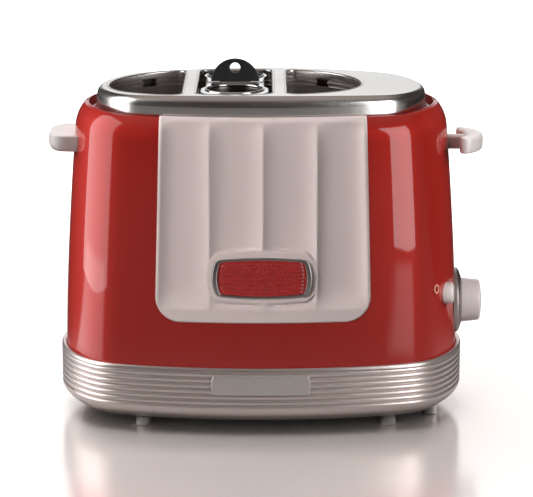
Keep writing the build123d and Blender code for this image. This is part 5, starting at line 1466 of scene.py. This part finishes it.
def paintFloor(paint):
    # diffuse plus gloss plus a glow: bright parts for reflections, and white far out for the camera
    tree = clearTree(paint)
    place = addNode(tree, "ShaderNodeTexCoord").outputs["Object"]
    split = addNode(tree, "ShaderNodeSeparateXYZ", {0: place}).outputs
    rays = addNode(tree, "ShaderNodeLightPath").outputs
    radius = addNode(tree, "ShaderNodeVectorMath", {0: place}, "LENGTH").outputs["Value"]
    near, far, farTone = stage["nearFloor"]
    front, back, backTone = stage["behind"]
    dim = ramp(tree, radius, near, far, 1.0, farTone)
    dim = combine(tree, dim, ramp(tree, split["Y"], front, back, 1.0, backTone))
    hidden = combine(tree, combine(tree, 1.0, dim, "SUBTRACT"), rays["Is Glossy Ray"])
    hidden = combine(tree, hidden, combine(tree, rays["Is Diffuse Ray"], 1 - stage["bounce"]), "ADD")
    tone = mixColours(tree, hidden, stage["floorTone"], (0, 0, 0))
    sheen = mixColours(tree, rays["Is Glossy Ray"], stage["glossTone"], stage["glossFar"])
    diffuse = addNode(tree, "ShaderNodeBsdfDiffuse", {"Color": tone}).outputs[0]
    inputs = {"Color": sheen, "Roughness": stage["glossRoughness"]}
    glossy = addNode(tree, "ShaderNodeBsdfGlossy", inputs).outputs[0]
    bearing = combine(tree, split["X"], combine(tree, split["Y"], -1.0), "ARCTAN2")
    fade, end, gone = stage["patchReach"]
    glow, edge = 0.0, stage["patchEdge"]
    for *bearings, level, start in stage["patches"]:
        first, last = (math.radians(value) for value in bearings)
        rise = ramp(tree, bearing, first - edge, first + edge, 0, level)
        spot = combine(tree, rise, ramp(tree, bearing, last - edge, last + edge, 1, 0))
        spot = combine(tree, spot, ramp(tree, radius, start, start + fade, 0, 1))
        glow = combine(tree, glow, spot, "ADD")
    glow = combine(tree, glow, ramp(tree, radius, end, gone, 1, 0))
    glow = combine(tree, glow, rays["Is Glossy Ray"])
    for near, far, strength in stage["whites"]:
        white = combine(tree, ramp(tree, radius, near, far, 0, strength), rays["Is Camera Ray"])
        glow = combine(tree, glow, white, "ADD")
    lift = addNode(tree, "ShaderNodeEmission", {"Strength": glow}).outputs[0]
    both = addNode(tree, "ShaderNodeAddShader", {0: diffuse, 1: glossy}).outputs[0]
    seen = addNode(tree, "ShaderNodeAddShader", {0: both, 1: lift}).outputs[0]
    addNode(tree, "ShaderNodeOutputMaterial", {"Surface": seen})


def makeFloor():
    # one large square under the object
    mesh = bpy.data.meshes.new("floor")
    half = stage["floorHalf"]
    corners = [(-half, -half, 0), (half, -half, 0), (half, half, 0), (-half, half, 0)]
    mesh.from_pydata(corners, [], [(0, 1, 2, 3)])
    floor = addObject("floor", mesh)
    paint = bpy.data.materials.new("floorPaint")
    paintFloor(paint)
    mesh.materials.append(paint)


studio = {
    "dim": (0.045, 0.036, 0.033),
    "ceiling": (0.6, 0.95, (0.34, 0.29, 0.27)),  # shares upward between which it shows, and its colour
    "card": (0.5, 0.8, (1.0, 1.0, 1.0)),  # the same for the bright card behind the object
    "horizon": (0.03, 0.12),  # shares upward where the card begins
    "aside": (0.03, 0.09),  # squares of the share toward the sides where the card fades
    "plain": 0.12,
}


def makeWorld():
    # white where the camera looks, a bright card behind the object in reflections, a plain level elsewhere
    world = bpy.data.worlds.new("studio")
    bpy.context.scene.world = world
    tree = clearTree(world)
    place = addNode(tree, "ShaderNodeTexCoord").outputs["Generated"]
    split = addNode(tree, "ShaderNodeSeparateXYZ", {0: place}).outputs
    rays = addNode(tree, "ShaderNodeLightPath").outputs
    low, high, colour = studio["ceiling"]
    tone = mixColours(tree, ramp(tree, split["Z"], low, high, 0, 1), studio["dim"], colour)
    low, high, colour = studio["card"]
    share = ramp(tree, split["Y"], low, high, 0, 1)
    share = combine(tree, share, ramp(tree, split["Z"], *studio["horizon"], 0, 1))
    square = combine(tree, split["X"], split["X"])
    share = combine(tree, share, ramp(tree, square, *studio["aside"], 1, 0))
    tone = mixColours(tree, share, tone, colour)
    glow = addNode(tree, "ShaderNodeBackground", {"Color": tone}).outputs[0]
    fill = addNode(tree, "ShaderNodeBackground", {"Strength": studio["plain"]}).outputs[0]
    white = addNode(tree, "ShaderNodeBackground").outputs[0]
    seen = fill
    for kind, background in (("Is Glossy Ray", glow), ("Is Camera Ray", white)):
        seen = addNode(tree, "ShaderNodeMixShader", {"Fac": rays[kind], 1: seen, 2: background}).outputs[0]
    addNode(tree, "ShaderNodeOutputWorld", {"Surface": seen})


softboxes = {  # centre, aim, size, radiance, and the receivers it lights
    "left": ((-560, -32, 450), (0, -32, 450), (525, 890), 2.35, "body"),
    "right": ((699, -577, 450), (0, 0, 450), (462, 890), 3.9, "body"),
    "key": ((-840, -950, 620), (700, -60, -150), (500, 500), 4.0, "keyed"),
    "keyGrip": ((-840, -950, 620), (0, -60, 130), (500, 500), 6.0, "grip"),
    "fill": ((1000, -700, 500), (0, 0, 130), (600, 600), 3.5, "sides"),
    "spot": ((900, -800, 500), (130, 0, 80), (600, 600), 8.2, "controls"),
    "above": ((-300, 100, 1500), (0, 0, 180), (900, 900), 2.9, "body"),
    "tops": ((0, 100, 1500), (0, 0, 180), (900, 900), 3.0, "ends"),
    "rimRight": ((1100, 360, 450), (0, 0, 130), (600, 600), 25.0, "fromRight"),
    "rimLeft": ((-1050, 490, 450), (0, 0, 130), (600, 600), 33.0, "fromLeft"),
    "rimGrip": ((-1050, 490, 450), (0, 0, 130), (600, 600), 12.0, "grip"),
    "sky": ((-380, 1000, 2300), (-380, 1000, 0), (1500, 4600), 2.45, "floor"),
    "low": ((0, -1800, 700), (0, 0, 0), (1500, 600), 0.8, "floor"),
}
spreads = {"key": 60}  # degrees; the others spread all round
mirrored = ("left", "right")  # these show in reflections and give no other light
receivers = {
    "body": ("EXCLUDE", ("floor",)),
    "keyed": ("EXCLUDE", ("floor", "grip_face")),
    "sides": ("EXCLUDE", ("floor", "panel_face")),
    "fromRight": ("EXCLUDE", ("floor", "lever_finger", "dial_knob", "stop_cap")),
    "fromLeft": ("EXCLUDE", ("floor", "grip_face")),
    "controls": ("INCLUDE", ("dial_knob", "dial_ring", "stop_cap", "lever_finger")),
    "ends": ("INCLUDE", ("lever_finger", "grip_face")),
    "grip": ("INCLUDE", ("grip_face",)),
    "floor": ("INCLUDE", ("floor",)),
}


def makeReceivers():
    # collections that a light leaves out or lights alone
    for name, (state, pieces) in receivers.items():
        group = bpy.data.collections.new(name)
        for row, piece in enumerate(pieces):
            group.objects.link(bpy.data.objects[piece])
            group.collection_objects[row].light_linking.link_state = state


def makeSoftbox(name, centre, aim, size, radiance, lights):
    # a rectangle of light turned to its aim; its power is the radiance times pi and its area
    data = bpy.data.lights.new(name, "AREA")
    data.shape = "RECTANGLE"
    data.size, data.size_y = (value * mm for value in size)
    data.energy = radiance * math.pi * data.size * data.size_y
    data.spread = math.radians(spreads.get(name, 180))
    lamp = addObject("lamp_" + name, data)
    lamp.location = np.array(centre) * mm
    x, y, z = np.array(centre) * mm - np.array(aim) * mm
    lamp.rotation_euler = (math.atan2(math.hypot(x, y), z), 0, math.atan2(x, -y))
    lamp.visible_camera = False
    lamp.visible_glossy = name in mirrored
    lamp.visible_diffuse = not lamp.visible_glossy
    lamp.light_linking.receiver_collection = bpy.data.collections[lights]


cameraSpec = {"place": (-0.3, -1600, 459.7), "tilt": 77.46, "lens": 169.69, "sensor": 36, "clip": (0.01, 50)}


def makeCamera():
    # a long lens in front of the object, tilted down to it
    data = bpy.data.cameras.new("view")
    data.lens, data.sensor_width = cameraSpec["lens"], cameraSpec["sensor"]
    data.clip_start, data.clip_end = cameraSpec["clip"]
    camera = addObject("camera", data)
    camera.location = [value * mm for value in cameraSpec["place"]]
    camera.rotation_euler = (math.radians(cameraSpec["tilt"]), 0, 0)
    bpy.context.scene.camera = camera


makeFloor()
makeWorld()
makeReceivers()
for name, spec in softboxes.items():
    makeSoftbox(name, *spec)
makeCamera()
bpy.context.scene.view_settings.view_transform = "Standard"
print("stage made")
